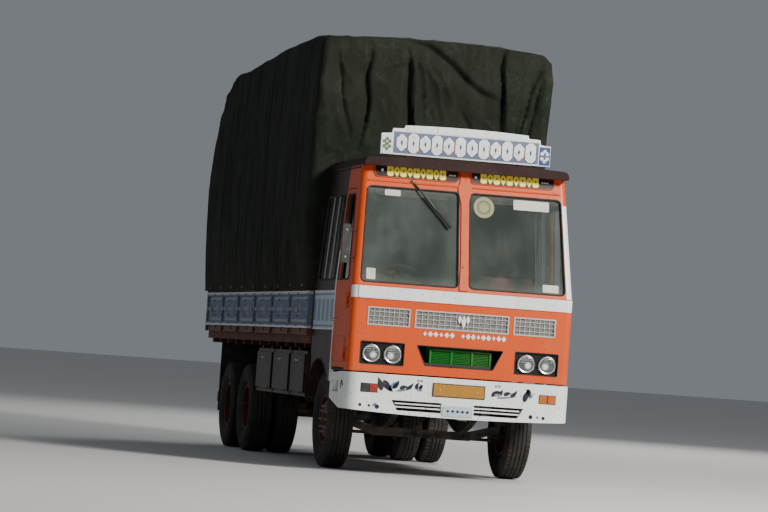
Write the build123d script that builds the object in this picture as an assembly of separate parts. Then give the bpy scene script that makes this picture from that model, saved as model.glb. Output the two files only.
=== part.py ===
from build123d import *
import os
from math import cos, radians, sin, sqrt

# A forward-control three-axle goods truck with a coach-built cab, a boarded body and a tarpaulin.
# The truck faces -Y, its left side is +X and +Z is up. The wheels stand on Z = 0.
# Places along the truck are stations: millimetres behind the front of the bumper.

overall_length = 9200
touch = 0.3                 # gap left where two pieces are seated without sharing a face
past = 1                    # how far a cutting form runs past what it cuts
beyond = 2000               # half-width of a cutting form wider than the truck

# Axles and wheels
front_axle_at = 1650
wheelbase = 4400
tandem_spacing = 1300
tyre_radius = 515
tyre_width = 278
bead_radius = 254
rim_width = 200
rim_wall = 12
rim_lip = 16
front_tyre_x = 975
dual_x = 910
dual_spacing = 312
kingpin_x = 850
kingpin_radius = 20
kingpin_play = 1
beam_half = 42              # half the depth of the axle's beam and of the knuckle's fork
beam_drop = 95              # from the wheel's centre down to the middle of the beam
steering_arm_length = 180
steering_arm_x = 800
rod_pin_radius = 11
track_rod_radius = 18
spindle_radius = 40
hub_radius = 105
hub_clearance = 0.5
disc_thickness = 14
hand_hole_radius = 24
hand_hole_circle = 205
hand_holes = 6
flat_radius = 180           # flat middle of a wheel's disc
drum_radius = 208
drum_depth = 215

# Chassis
rail_web_x = 430            # outer face of each rail's web
rail_bottom = 880
rail_height = 260
rail_flange = 75
rail_plate = 10
rail_front_at = 110
leaf_width = 75
leaf_thickness = 11
front_leaves = 9
front_spring_half = 700
front_spring_rise = 90
bogie_leaves = 8
bogie_leaf_thickness = 14
bogie_spring_x = 500
bogie_spring_rise = 48
axle_tube_radius = 70
trunnion_radius = 45
trunnion_plate = 12
trunnion_lift = 50          # from the axles up to the bogie's cross shaft
saddle_half = 60
saddle_height = 20          # from an axle's tube up to its spring
banjo_radius = 190
nose_reach = 350            # how far the drive axle's nose reaches forward
bearing_at = 3700
tow_jaw_height = 1010
tow_pin_radius = 21
tow_jaw_half = 70
tow_plate = 25
tow_gap = 70

# Engine, radiator and tanks
engine_half = 290
engine_front_at = 720
engine_rear_at = 1580
engine_top = 1400
gearbox_half = 210
gearbox_rear_at = 2420
shaft_radius = 42
shaft_flange = 70
radiator_at = 330
radiator_half = 300
radiator_depth = 70
radiator_tank = 60
radiator_groove = 12
header_tank_height = 80
fuel_tank_at = (2420, 3460)
fuel_tank_x = (700, 1150)
fuel_tank_z = (640, 1150)
air_tanks_at = (3600, 4300)
air_tank_x = (760, 1040)
air_tank_radius = 115
air_tank_height = 1000
locker_x = (720, 1180)
locker_z = (730, 1225)
# Lockers under the deck: side (-1 is the driver's), front and rear station
lockers = [(-1, 2290, 3180), (-1, 3240, 4280), (-1, 4340, 5360), (1, 4420, 5360)]

# Cab
cab_face_at = 70
cab_depth = 2060
cab_half = 1175
cab_taper = 83              # how much narrower each side is at the cab's top
cab_wall = 40
cab_skirt = 930             # lower edge of the cab's sides
cab_front_bottom = 1060
belt_height = 1950
belt_ledge = 30
screen_slope = 0.26
cab_top = 3200
cab_corner = 65
roof_edge = 25              # upright edge of the roof over the cab's top
roof_corner = 60
roof_crown = 112
roof_wall = 38
roof_frame = 60             # solid stretch of the roof over the front and rear walls
visor_reach = 130
visor_lip = (12, 17)        # the lip's depth along the truck and below the visor
belt_drop = (135, 5)        # the belt's lower and upper edge below the belt height
belt_proud = 12
floor_thickness = 50
pane_lift = 35              # from the belt up to the panes
pane_drop = 215             # from the cab's top down to the panes
pane_margin = (85, 57)      # from the cab's sides to the panes, at their bottom and top
pane_radius = 55
screen_post = 120
glass_thickness = 6
door_front_at = 262
door_rear_at = 988
door_bottom = 1075
door_top = 2960
door_gap = 8
door_rear_gap = 18
door_frame = 55
door_hinge_z = (1220, 1780)
door_barrel = 80
door_leaf = 40
handle_z = (1560, 1585)
hinge_radius = 10
hinge_play = 0.5            # between the ends of two barrels on one pin
quarter_window_margin = 130
arch_radius = 640
sign_at = 440
sign_seat = 7
sign_half = 910
sign_bottom = 3330
sign_thickness = 36
# Right half of the sign board's top edge: x and z, from its end to the raised strip
sign_steps = [(910, 3545), (800, 3555), (790, 3605), (670, 3610), (660, 3642)]
sign_top = 3658
sign_pad_x = 600

# Inside the cab
seat_base = 1560
seat_height = 110
seat_back_top = 2180
seat_stations = (1060, 1480)
seat_back_at = (1400, 1510)
bench_at = 1740
cushion_radius = 28
cover_half = 400
cover_front_at = 460
cover_rear_at = 1640
cover_top = 1500
floor_opening = 372
dash_rear_at = 420
dash_drop = 10              # from the belt down to the dashboard's top
dash_height = 300
hood_half = 220
steer_inset = 535           # from the cab's side to the steering wheel's middle
steer_at = 560
steer_lift = 100            # from the belt up to the steering wheel's middle
steer_radius = 240
steer_rim = 15
steer_hub = 50
steer_tilt = -32
column_run = 300
column_radius = 30

# Front panel: openings and lamps
grille_drop = 220           # from the belt down to the grilles
grille_height = 190
grille_frame = 14
grille_depth = 30
lamp_x = (710, 935)
lamp_height = 1250
lamp_radius = 88
lens_curve = 260
lamp_panel_x = (590, 1050)
lamp_panel_z = (1140, 1370)
lamp_panel_depth = 22
intake_top_half = 457
intake_bottom_half = 360
intake_z = (1160, 1363)

# Bumper
bumper_outset = 15          # the bumper's ends stand outside the cab's sides
bumper_top = 1045
bumper_low_middle = 632
bumper_low_end = 665
bumper_wall = 55
bumper_corner = 150
bumper_return_at = 870
slot_z = (680, 785)
slot_inner_x = 170
slot_outer_x = 700
slot_slant = 60
slot_bar = 7                # half the height of the two bars across each slot
step_at = (430, 730)        # foot hole in each of the bumper's returns
step_z = (825, 950)
step_tread = 10

# Mirror
mirror_out = 95
mirror_half = 40
mirror_at = (120, 150)
mirror_z = (2160, 2560)
mirror_arm_z = (2220, 2500)
mirror_arm_radius = 9

# Load body
body_gap = 60
body_half = 1233
board_thickness = 30
rib_depth = 20
runner_height = 120
bearer_height = 140
bearer_width = 80
bearer_pitch = 560
deck_thickness = 40
board_top = 2300
band_bottom = 1475
band_top = 1877
rib_width = 70
rib_pitch = 1130
rave_width = 60
rave_drop = 90
plank_width = 200
plank_groove = (6, 8)       # width and depth
headboard_wall = 45
headboard_top = 3150
headboard_post = 80
post_margin = 283           # from the boards to the middle of a headboard's post
tailgate_wall = 40
tailgate_gap = 8
tail_clearance = 50         # how far the tarpaulin's rear bulges past the tailgate
gate_hinge_x = (-950, 0, 950)
gate_barrel = 90
gate_rib_x = (-700, -350, 0, 350, 700)
rear_bar_half = 1050
rear_bar_z = (520, 640)
rear_bar_depth = 60
lamp_board = (330, 40)      # length and depth of the tail lamps
flap_half = 290
flap_low = 420
flap_gap = 55               # between a tyre and the flap behind it
flap_thickness = 15

# Tarpaulin
tarp_wall = 22
tarp_hem = 1950
tarp_side_gap = 43          # from the body's ribs to the tarpaulin's hem
tarp_bulge = 42
tarp_corner = 120
tarp_crown = 45
tarp_front_gap = 20
hoop_size = 40
hoop_count = 5

# Worked out from the sizes above
half_length = overall_length / 2
bumper_half = cab_half + bumper_outset
cab_inner = cab_half - cab_wall - 2
cab_top_half = cab_half - cab_taper
belt_z = (belt_height - belt_drop[0], belt_height - belt_drop[1])
pane_bottom = belt_height + pane_lift
pane_top = cab_top - pane_drop
pane_outer_bottom = cab_half - pane_margin[0]
pane_outer_top = cab_top_half - pane_margin[1]
grille_top = belt_height - grille_drop
grille_bottom = grille_top - grille_height
dash_z = (belt_height - dash_drop - dash_height, belt_height - dash_drop)
steer_x = steer_inset - cab_half
steer_z = belt_height + steer_lift
drive_axle_at = front_axle_at + wheelbase
tag_axle_at = drive_axle_at + tandem_spacing
bogie_at = (drive_axle_at + tag_axle_at) / 2
flap_at = tag_axle_at + tyre_radius + flap_gap
rail_top = rail_bottom + rail_height
rail_rear_at = overall_length - 250
cab_back_at = cab_face_at + cab_depth
floor_top = rail_top + floor_thickness
body_front_at = cab_back_at + body_gap
body_rear_at = overall_length - tail_clearance
bearer_bottom = rail_top + runner_height
deck_bottom = bearer_bottom + bearer_height
deck_top = deck_bottom + deck_thickness
tarp_half = body_half + tarp_side_gap
board_outer = body_half - rib_depth
board_inner = board_outer - board_thickness
screen_foot_at = cab_face_at + belt_ledge
sill_bottom = bumper_top + 5
spring_seat_z = tyre_radius - beam_drop + 50
front_eye_reach = front_spring_half + 8
front_eye_z = spring_seat_z + front_leaves * leaf_thickness + front_spring_rise + 12
bogie_seat_z = tyre_radius + axle_tube_radius + saddle_height
bogie_spring_half = tandem_spacing / 2 + 60
trunnion_z = tyre_radius + trunnion_lift
bearing_hanger_z = rail_bottom + 130
bearer_count = int((body_rear_at - body_front_at - bearer_width) // bearer_pitch)
bearer_step = (body_rear_at - body_front_at - bearer_width) / bearer_count
deck_front_at = body_front_at + headboard_wall
deck_rear_at = body_rear_at - tailgate_wall
door_hinge_x = cab_half + 12
door_hinge_at = door_front_at + door_gap + hinge_radius
window_z = (belt_height + 50, door_top - door_gap - door_frame)
seat_inner = cover_half + 40
driver_seat_x = (133 - cab_inner, -seat_inner)
mate_seat_x = (seat_inner + 20, cab_inner - 53)
bench_x = (53 - cab_inner, cab_inner - 53)
gate_hinge_at = body_rear_at + 12
gate_hinge_z = deck_top + 22
tarp_front_at = cab_back_at + tarp_front_gap
first_hoop_at = body_front_at + 710
last_hoop_at = overall_length - 740
hoop_pitch = (last_hoop_at - first_hoop_at) / (hoop_count - 1)

# Grilles on the front: inner x, outer x and the number of upright bars
grille_table = [(-500, 500, 15), (550, 1000, 7), (-1000, -550, 7)]

# Seats' boxes: x limits, front and rear station
seat_boxes = [
    (driver_seat_x, 1080, 1480),
    (mate_seat_x, 1080, 1480),
    (bench_x, 1760, 2080),
]

# Cushions: x limits, station limits and z limits
seat_top = seat_base + seat_height
cushions = [
    (driver_seat_x, seat_stations, (seat_base + touch, seat_top)),
    (driver_seat_x, seat_back_at, (seat_top + touch, seat_back_top)),
    (mate_seat_x, seat_stations, (seat_base + touch, seat_top)),
    (mate_seat_x, seat_back_at, (seat_top + touch, seat_back_top)),
    (bench_x, (bench_at, cab_back_at - cab_wall - 2), (seat_base + touch, seat_top)),
]

# Tarpaulin: station and height of its top
tarp_table = [
    (tarp_front_at, 4700),
    (tarp_front_at + 750, 4750),
    (tarp_front_at + 2550, 4735),
    (overall_length - 2800, 4670),
    (overall_length - 1900, 4630),
    (overall_length - 1300, 4650),
    (overall_length - 700, 4460),
    (overall_length - 240, 4190),
    (overall_length, 3760),
]


def along(station):
    """Y of a station."""
    return station - half_length


def block(x, stations, z):
    """A block between two limits on each axis."""
    centre = ((x[0] + x[1]) / 2, along((stations[0] + stations[1]) / 2), (z[0] + z[1]) / 2)
    return Pos(*centre) * Box(x[1] - x[0], stations[1] - stations[0], z[1] - z[0])


def side_plate(outline, x):
    """A side outline of (station, z) points, extruded between two x places."""
    wire = Polyline(*[(x[0], along(station), z) for station, z in outline], close=True)
    return extrude(make_face(wire), x[1] - x[0], dir=(1, 0, 0))


def front_plate(outline, stations):
    """A front outline of (x, z) points, extruded between two stations."""
    wire = Polyline(*[(x, along(stations[0]), z) for x, z in outline], close=True)
    return extrude(make_face(wire), stations[1] - stations[0], dir=(0, 1, 0))


def rod(start, end, radius):
    """A round bar between two points given as (x, station, z)."""
    a = Vector(start[0], along(start[1]), start[2])
    b = Vector(end[0], along(end[1]), end[2])
    bottom = (Align.CENTER, Align.CENTER, Align.MIN)
    return Plane(origin=a, z_dir=b - a) * Cylinder(radius, (b - a).length, align=bottom)


def turned(outline):
    """A solid turned about the X axis from (x, radius) points."""
    return revolve(make_face(Polyline(*outline, close=True)), Axis.X)


def sided(side, inner, outer):
    """X limits of a form on one side of the truck: the side is 1 or -1."""
    return tuple(sorted((side * inner, side * outer)))


def mirrored(shape):
    return mirror(shape, Plane.YZ)


def both(shape):
    """A piece of the left side with its mirror image on the right."""
    return Compound(children=[*shape.solids(), *mirrored(shape).solids()])


def place(shape, x, station, z):
    return Pos(x, along(station), z) * shape


def slope_station(z, inset=0):
    """Station of the raked front of the cab at a height, moved in by a wall."""
    return screen_foot_at + (z - belt_height) * screen_slope + inset


def side_half(z, inset=0):
    """Half-width of the cab at a height: upright to the belt, then leaning in."""
    lean = max(0, z - belt_height) / (cab_top - belt_height)
    return cab_half - (cab_half - cab_top_half) * lean - inset


# Wheels and axles

def tyre():
    """A tyre about the X axis: rounded shoulders, bulged walls and beads on the rim."""
    half = tyre_width / 2
    bead_half = rim_width / 2
    wall_radius = (bead_radius + tyre_radius) / 2
    shoulder_x = half * 0.80
    crown = tyre_radius - 10
    heel = bead_half - 12
    lip = bead_radius + rim_lip + 2
    top = ThreePointArc((-shoulder_x, crown), (0, tyre_radius), (shoulder_x, crown))
    right = ThreePointArc((shoulder_x, crown), (half, wall_radius), (heel, lip))
    base = Polyline((heel, lip), (heel, bead_radius), (-heel, bead_radius), (-heel, lip))
    left = ThreePointArc((-heel, lip), (-half, wall_radius), (-shoulder_x, crown))
    return revolve(make_face(top + right + base + left), Axis.X)


def rim():
    """A rim about the X axis, with a flange outside each bead."""
    half = rim_width / 2
    inner = bead_radius - rim_wall
    lip = bead_radius + rim_lip
    return turned([(-half, inner), (half, inner), (half, lip), (half - 10, lip), (half - 12, bead_radius),
                   (12 - half, bead_radius), (10 - half, lip), (-half, lip)])


def dished_disc(edge_x, middle_x):
    """A wheel disc: a cone from the rim to a flat middle, with a ring of hand holes."""
    outer = bead_radius - rim_wall + 2
    t = disc_thickness
    disc = turned([(edge_x, outer), (middle_x, flat_radius), (middle_x, hub_radius - 20),
                   (middle_x + t, hub_radius - 20), (middle_x + t, flat_radius), (edge_x + t, outer)])
    for number in range(hand_holes):
        angle = radians(number * 360 / hand_holes)
        where = (0, hand_hole_circle * cos(angle), hand_hole_circle * sin(angle))
        disc -= Pos(*where) * Rot(0, 90, 0) * Cylinder(hand_hole_radius, 4 * tyre_width)
    return disc


def hub(inner_x, outer_x, cap_x):
    """A hub bored for its spindle, closed by a cap."""
    bore = spindle_radius + hub_clearance
    return turned([(inner_x, bore), (inner_x, hub_radius), (outer_x, hub_radius), (outer_x, 70),
                   (cap_x, 55), (cap_x, 0), (cap_x - 20, 0), (cap_x - 20, bore)])


def front_wheel():
    return rim() + dished_disc(30, 75) + hub(-35, 89, 125)


def dual_wheel():
    """Two rims with their discs back to back, on one hub with its brake drum."""
    offset = dual_spacing / 2
    wheel = Pos(offset, 0, 0) * rim() + Pos(-offset, 0, 0) * rim()
    wheel += dished_disc(offset - 50, 1)
    wheel += mirrored(dished_disc(offset - 50, 1))
    wheel += hub(-185, 60, 110)
    drum_inner = drum_radius - 18
    drum = turned([(-drum_depth, drum_inner), (-drum_depth, drum_radius), (-60, drum_radius),
                   (-60, hub_radius - 10), (-75, hub_radius - 10), (-75, drum_inner)])
    return wheel + drum


def dual_tyres():
    offset = dual_spacing / 2
    return Compound(children=[Pos(offset, 0, 0) * tyre(), Pos(-offset, 0, 0) * tyre()])


def knuckle():
    """Left steering knuckle about its kingpin: fork, pin, spindle and steering arm."""
    z = tyre_radius
    eye = 45
    cheek = (front_axle_at - beam_half, front_axle_at + beam_half)
    fork = block((kingpin_x - 42, kingpin_x + 85), cheek, (z - 90, z + 90))
    fork -= block((kingpin_x - 60, kingpin_x + 55), (cheek[0] - past, cheek[1] + past),
                  (z - eye - 5, z + eye + 5))
    pin = rod((kingpin_x, front_axle_at, z - 80), (kingpin_x, front_axle_at, z + 80), kingpin_radius)
    spindle_end = front_tyre_x + 100
    spindle = rod((kingpin_x + 70, front_axle_at, z), (spindle_end, front_axle_at, z), spindle_radius)
    arm_end = front_axle_at + steering_arm_length + 24
    arm = side_plate([(front_axle_at, z - 90), (arm_end, z - 90), (arm_end, z - 72), (front_axle_at, z - 66)],
                     (steering_arm_x - 22, steering_arm_x + 22))
    return fork + pin + spindle + arm - rod_eye(steering_arm_x, z)


def rod_eye(x, z):
    """The bore at a steering arm's end for the track rod's pin."""
    station = front_axle_at + steering_arm_length
    return rod((x, station, z - 100), (x, station, z - 60), rod_pin_radius + touch)


def track_rod():
    """Rod between the two steering arms, under them, with a pin up into the left arm."""
    z = tyre_radius - 90 - 5
    x = steering_arm_x
    station = front_axle_at + steering_arm_length
    bar = rod((-x, station, z - 20), (x, station, z - 20), track_rod_radius)
    pin = rod((x, station, z - 30), (x, station, z + 22), rod_pin_radius)
    right_end = rod((-x, station, z - 36), (-x, station, z), 26)
    left_end = rod((x, station, z - 36), (x, station, z), 26)
    return bar + pin + right_end + left_end


def front_axle():
    """Forged beam, dropped between its spring pads, with an eye at each end for the kingpin."""
    z = tyre_radius
    drop = beam_drop
    half = kingpin_x - 30
    foot = rail_web_x + 90
    seat = rail_web_x + 60
    outline = [(-half, z - 40), (-foot, z - drop - 40), (foot, z - drop - 40), (half, z - 40),
               (half, z + 40), (seat, z - drop + 50), (-seat, z - drop + 50), (-half, z + 40)]
    beam = front_plate(outline, (front_axle_at - beam_half, front_axle_at + beam_half))
    for side in (-1, 1):
        beam += rod((side * kingpin_x, front_axle_at, z - 45), (side * kingpin_x, front_axle_at, z + 45), 45)
        beam -= rod((side * kingpin_x, front_axle_at, z - 60), (side * kingpin_x, front_axle_at, z + 60),
                    kingpin_radius + kingpin_play)
    # Pockets in front and behind leave the beam an I section
    for side in (-1, 1):
        stations = sorted((front_axle_at + side * 14, front_axle_at + side * 60))
        beam -= block((-rail_web_x - 40, rail_web_x + 40), stations, (z - drop - 15, z - drop + 25))
    return beam


def curve_radius(longest, rise):
    """Radius of a leaf whose ends stand off its middle by the rise."""
    return (longest ** 2 + rise ** 2) / (2 * rise)


def leaf_pack(x, station, seat_z, leaves, thickness, width, longest, rise):
    """Leaves nested on one centre of curvature: the longest on top, ends up by the rise."""
    radius = curve_radius(longest, rise)
    centre_z = seat_z + leaves * thickness + radius
    pack = None
    for number in range(leaves):
        inner = radius + number * thickness
        outer = inner + thickness
        reach = longest * (1 - 0.84 * number / leaves)
        angle = reach / radius

        def point(r, a):
            return (x - width / 2, along(station + r * sin(a)), centre_z - r * cos(a))
        edges = ThreePointArc(point(inner, -angle), point(inner, 0), point(inner, angle))
        edges += Line(point(inner, angle), point(outer, angle))
        edges += ThreePointArc(point(outer, angle), point(outer, 0), point(outer, -angle))
        edges += Line(point(outer, -angle), point(inner, -angle))
        leaf = extrude(make_face(edges), width, dir=(1, 0, 0))
        pack = leaf if pack is None else pack + leaf
    return pack


def front_spring():
    """Left front spring on the axle's pad, with an eye at each end and its two clamps."""
    x = rail_web_x
    seat = spring_seat_z
    spring = leaf_pack(x, front_axle_at, seat, front_leaves, leaf_thickness, leaf_width,
                       front_spring_half, front_spring_rise)
    top = seat + front_leaves * leaf_thickness
    for end in (-1, 1):
        where = front_axle_at + end * front_eye_reach
        spring += rod((x - leaf_width / 2, where, front_eye_z), (x + leaf_width / 2, where, front_eye_z), 24)
        spring -= rod((x - leaf_width, where, front_eye_z), (x + leaf_width, where, front_eye_z), 13)
        clamp_at = front_axle_at + end * 75
        spring += block((x - leaf_width / 2 - 10, x + leaf_width / 2 + 10), (clamp_at - 9, clamp_at + 9),
                        (seat + 20, top + 22))
    return spring


def bogie_spring():
    """Left bogie spring: shorter leaves above, both ends resting on the axle saddles."""
    pack = leaf_pack(bogie_spring_x, bogie_at, 0, bogie_leaves, bogie_leaf_thickness, leaf_width + 15,
                     bogie_spring_half, bogie_spring_rise)
    pack = mirror(pack, Plane.XY)
    lowest = pack.bounding_box().min.Z
    pack = Pos(0, 0, bogie_seat_z + touch - lowest) * pack
    top = pack.bounding_box().max.Z
    x = (bogie_spring_x - 55, bogie_spring_x + 55)
    for end in (-1, 1):
        at = bogie_at + end * 70
        pack += block(x, (at - 9, at + 9), (top - bogie_leaves * bogie_leaf_thickness + 6, top + 20))
    return pack


def dual_axle(station, banjo):
    """A tube axle with its spindles, brake plates, spring saddles and, when driven, its banjo."""
    z = tyre_radius
    plate_x = dual_x - drum_depth - 20
    axle = rod((-plate_x, station, z), (plate_x, station, z), axle_tube_radius)
    for side in (-1, 1):
        axle += rod((side * (plate_x - 14), station, z), (side * plate_x, station, z), drum_radius - 8)
        axle += rod((side * plate_x, station, z), (side * (dual_x + 70), station, z), spindle_radius)
        saddle = sided(side, bogie_spring_x - 55, bogie_spring_x + 55)
        axle += block(saddle, (station - 55, station + 55), (z, bogie_seat_z))
    if banjo:
        nose = station - nose_reach
        axle += place(Sphere(banjo_radius), 0, station, z)
        axle += rod((0, nose + 15, z + 40), (0, station, z + 40), 85)
        axle += rod((0, nose, z + 40), (0, nose + 25, z + 40), 105)
    return axle


# Chassis

def rail():
    """Left rail: a channel, open to the middle of the truck."""
    web = (rail_web_x - rail_plate, rail_web_x)
    flange = (rail_web_x - rail_flange, rail_web_x)
    stations = (rail_front_at, rail_rear_at)
    channel = block(web, stations, (rail_bottom, rail_top))
    channel += block(flange, stations, (rail_bottom, rail_bottom + rail_plate))
    channel += block(flange, stations, (rail_top - rail_plate, rail_top))
    return channel


def spring_hanger(station):
    """Two cheeks below the left rail with a pin through the spring's eye."""
    x = rail_web_x
    gap = leaf_width / 2 + 2
    hanger = block((x - gap - 12, x + gap + 12), (station - 55, station + 55), (rail_bottom - 15, rail_bottom))
    for side in (-1, 1):
        cheek = tuple(sorted((x + side * gap, x + side * (gap + 12))))
        hanger += side_plate([(station - 55, rail_bottom), (station + 55, rail_bottom),
                              (station + 32, front_eye_z - 32), (station - 32, front_eye_z - 32)], cheek)
    pin = rod((x - gap - 12, station, front_eye_z), (x + gap + 12, station, front_eye_z), 12.5)
    return hanger + pin


def trunnion_bracket():
    """Left bracket that carries the bogie's cross shaft."""
    plate = side_plate([(bogie_at - 260, rail_top - 30), (bogie_at + 260, rail_top - 30),
                        (bogie_at + 90, trunnion_z - 70), (bogie_at - 90, trunnion_z - 70)],
                       (rail_web_x, rail_web_x + trunnion_plate))
    return plate - rod((0, bogie_at, trunnion_z), (cab_half, bogie_at, trunnion_z), trunnion_radius + touch)


def trunnion_shaft():
    """Cross shaft of the bogie with a saddle under each spring."""
    end = bogie_spring_x + 60
    curve = curve_radius(bogie_spring_half, bogie_spring_rise)
    spring_low = bogie_seat_z + curve * (1 - cos(bogie_spring_half / curve))
    saddle_top = spring_low - saddle_half ** 2 / (2 * curve)
    shaft = rod((-end, bogie_at, trunnion_z), (end, bogie_at, trunnion_z), trunnion_radius)
    for side in (-1, 1):
        x = sided(side, bogie_spring_x - 50, bogie_spring_x + 50)
        shaft += block(x, (bogie_at - saddle_half, bogie_at + saddle_half), (trunnion_z, saddle_top))
    return shaft


def chassis_frame():
    """Two rails with their hangers and brackets, the cross members between them and the bogie's shaft."""
    side = rail() + trunnion_bracket()
    for end in (-1, 1):
        side += spring_hanger(front_axle_at + end * front_eye_reach)
    pieces = [*both(side).solids(), *trunnion_shaft().solids()]
    reach = rail_web_x - rail_plate - touch
    # Cross members: station, depth along the truck, lower edge, upper edge
    members = [
        (rail_front_at + 50, 60, rail_bottom + 20, rail_top - 20),
        (560, 80, rail_bottom + 15, rail_bottom + 85),
        (2600, 60, rail_top - 80, rail_top - 10 - touch),
        (bearing_at, 60, bearing_hanger_z, rail_top - 40),
        (4900, 60, rail_bottom + 40, rail_top - 40),
        (bogie_at - 330, 60, rail_bottom + 110, rail_top - 30),
        (bogie_at, 220, rail_bottom + 120, rail_top - 20),
        (bogie_at + 330, 60, rail_bottom + 40, rail_top - 40),
        (rail_rear_at - 650, 60, rail_bottom + 40, rail_top - 40),
        (rail_rear_at - 40, 80, rail_bottom + rail_plate + touch, rail_top - rail_plate - touch),
    ]
    for station, depth, low, high in members:
        pieces.append(block((-reach, reach), (station - depth / 2, station + depth / 2), (low, high)))
    return Compound(children=pieces)


def tow_jaw():
    """Towing jaw behind the last cross member: two plates bored for a pin."""
    x = (-tow_jaw_half, tow_jaw_half)
    inner = tow_gap / 2
    outer = inner + tow_plate
    jaw = block(x, (rail_rear_at, rail_rear_at + 20), (tow_jaw_height - outer, tow_jaw_height + outer))
    for low in (tow_jaw_height - outer, tow_jaw_height + inner):
        jaw += block(x, (rail_rear_at, rail_rear_at + 130), (low, low + tow_plate))
    at = rail_rear_at + 80
    return jaw - rod((0, at, tow_jaw_height - outer - 20), (0, at, tow_jaw_height + outer + 20), tow_pin_radius)


def engine():
    """Engine and gearbox as plain masses on four feet."""
    reach = rail_web_x - rail_plate
    body = block((-engine_half, engine_half), (engine_front_at, engine_rear_at),
                 (rail_bottom - 120, engine_top))
    body += block((-gearbox_half, gearbox_half), (engine_rear_at, gearbox_rear_at),
                  (rail_bottom - 40, rail_top - 12))
    for station in (engine_front_at + 100, engine_rear_at - 80):
        body += block((-reach, reach), (station - 45, station + 45), (rail_top - 140, rail_top - 100))
    return body


def radiator():
    """Radiator core in its side channels with a header tank above and a bottom tank."""
    at = radiator_at
    half = radiator_half
    stations = (at, at + radiator_depth)
    deep = (at - 15, at + radiator_depth + 25)
    low = rail_top + radiator_tank
    high = intake_z[1] + 10
    core = block((-half, half), stations, (low, high))
    groove = radiator_groove
    for number in range(int((high - low - 40) // (2 * groove))):
        z = low + 20 + number * 2 * groove
        core -= block((15 - half, half - 15), (at - past, at + groove), (z, z + groove))
    tanks_half = half + 20
    header = block((-tanks_half, tanks_half), deep, (high, high + header_tank_height))
    tank = block((-tanks_half, tanks_half), deep, (rail_top, low))
    middle = at + radiator_depth / 2
    neck = rod((0, middle, high), (0, middle, high + header_tank_height + 30), 38)
    feet = block((2 - floor_opening, floor_opening - 2), stations, (rail_top, rail_top + 20))
    return core + header + tank + neck + feet


def propeller_shaft():
    """Two tubes with a centre bearing hung from a cross member and flanges at the ends."""
    front = (0, gearbox_rear_at, rail_bottom + rail_height / 2)
    bearing_z = rail_bottom + 60
    middle = (0, bearing_at, bearing_z)
    rear_z = tyre_radius + 40
    end_at = drive_axle_at - nose_reach
    shaft = rod(front, middle, shaft_radius) + rod(middle, (0, end_at, rear_z), shaft_radius)
    shaft += rod(front, (0, gearbox_rear_at + 50, front[2]), shaft_flange)
    shaft += rod((0, bearing_at - 25, bearing_z), (0, bearing_at + 25, bearing_z), shaft_flange - 5)
    shaft += block((-40, 40), (bearing_at - 20, bearing_at + 20), (bearing_z, bearing_hanger_z))
    shaft += rod((0, end_at - 60, rear_z), (0, end_at, rear_z), shaft_flange)
    # The slanting tubes are cut square at the gearbox's flange and at the axle's
    return shaft & block((-beyond, beyond), (gearbox_rear_at, end_at), (0, beyond))


def bearers_over(stations):
    """Middles of the cross bearers that lie over a stretch of the truck."""
    middles = [body_front_at + bearer_width / 2 + number * bearer_step for number in range(bearer_count + 1)]
    return [middle for middle in middles if stations[0] + 35 < middle < stations[1] - 35]


def tanks():
    """Left fuel tank with rounded edges, and two air tanks behind it, hung from the bearers."""
    x, z = fuel_tank_x, fuel_tank_z
    fuel = block(x, fuel_tank_at, z)
    fuel = fillet(fuel.edges().filter_by(Axis.Y), 110)
    for station in bearers_over(fuel_tank_at):
        strap = block((x[0] - 20, x[1] + 20), (station - 30, station + 30), (z[0] - 20, bearer_bottom))
        strap -= block((x[0] + 4, x[1] - 4), (station - 30 - past, station + 30 + past), (z[0] + 4, z[1] - 4))
        fuel += strap
    pieces = fuel.solids()
    z = air_tank_height
    for x in air_tank_x:
        tank = rod((x, air_tanks_at[0], z), (x, air_tanks_at[1], z), air_tank_radius)
        for station in bearers_over(air_tanks_at):
            tank += block((x - 20, x + 20), (station - 20, station + 20), (z, bearer_bottom))
        pieces += tank.solids()
    return Compound(children=pieces)


def side_boxes():
    """Steel lockers under the deck with a raised door on each and two hangers."""
    pieces = []
    for side, front, rear in lockers:
        x = sided(side, *locker_x)
        box = block(x, (front, rear), locker_z)
        door_x = sided(side, locker_x[1], locker_x[1] + 12)
        box += block(door_x, (front + 40, rear - 40), (locker_z[0] + 40, locker_z[1] - 35))
        for station in bearers_over((front, rear)):
            box += block(x, (station - 25, station + 25), (locker_z[1], bearer_bottom))
        pieces += box.solids()
    return Compound(children=pieces)


# Cab

def upright_corners(solid):
    """The two front corner edges of a cab piece, upright or raked."""
    return [edge for edge in solid.edges()
            if edge.center().Y < along(900) and abs(edge.center().X) > cab_top_half - 150
            and abs(edge.tangent_at(0.5).Z) > 0.9]


def cab_solid(inset, radius=0):
    """The whole cab as one solid, its walls moved in by an inset, its front corners rounded."""
    back = cab_back_at - inset
    front = cab_face_at + inset
    low = 0 if inset else cab_skirt
    half = cab_half - inset
    top_half = cab_top_half - inset
    lower = block((-half, half), (front, back), (low, belt_height))
    raked = side_plate([(slope_station(belt_height, inset), belt_height),
                        (slope_station(cab_top, inset), cab_top),
                        (back, cab_top), (back, belt_height)], (-half, half))
    upper = raked & front_plate([(-half, belt_height), (-top_half, cab_top), (top_half, cab_top),
                                 (half, belt_height)], (0, cab_back_at + past))
    if radius:
        lower = fillet(upright_corners(lower), radius)
        upper = fillet(upright_corners(upper), radius)
    return lower + upper


def cab_shell():
    shell = cab_solid(0, cab_corner) - cab_solid(cab_wall)
    arch = rod((-beyond, front_axle_at, tyre_radius), (beyond, front_axle_at, tyre_radius), arch_radius)
    return shell - arch


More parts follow.
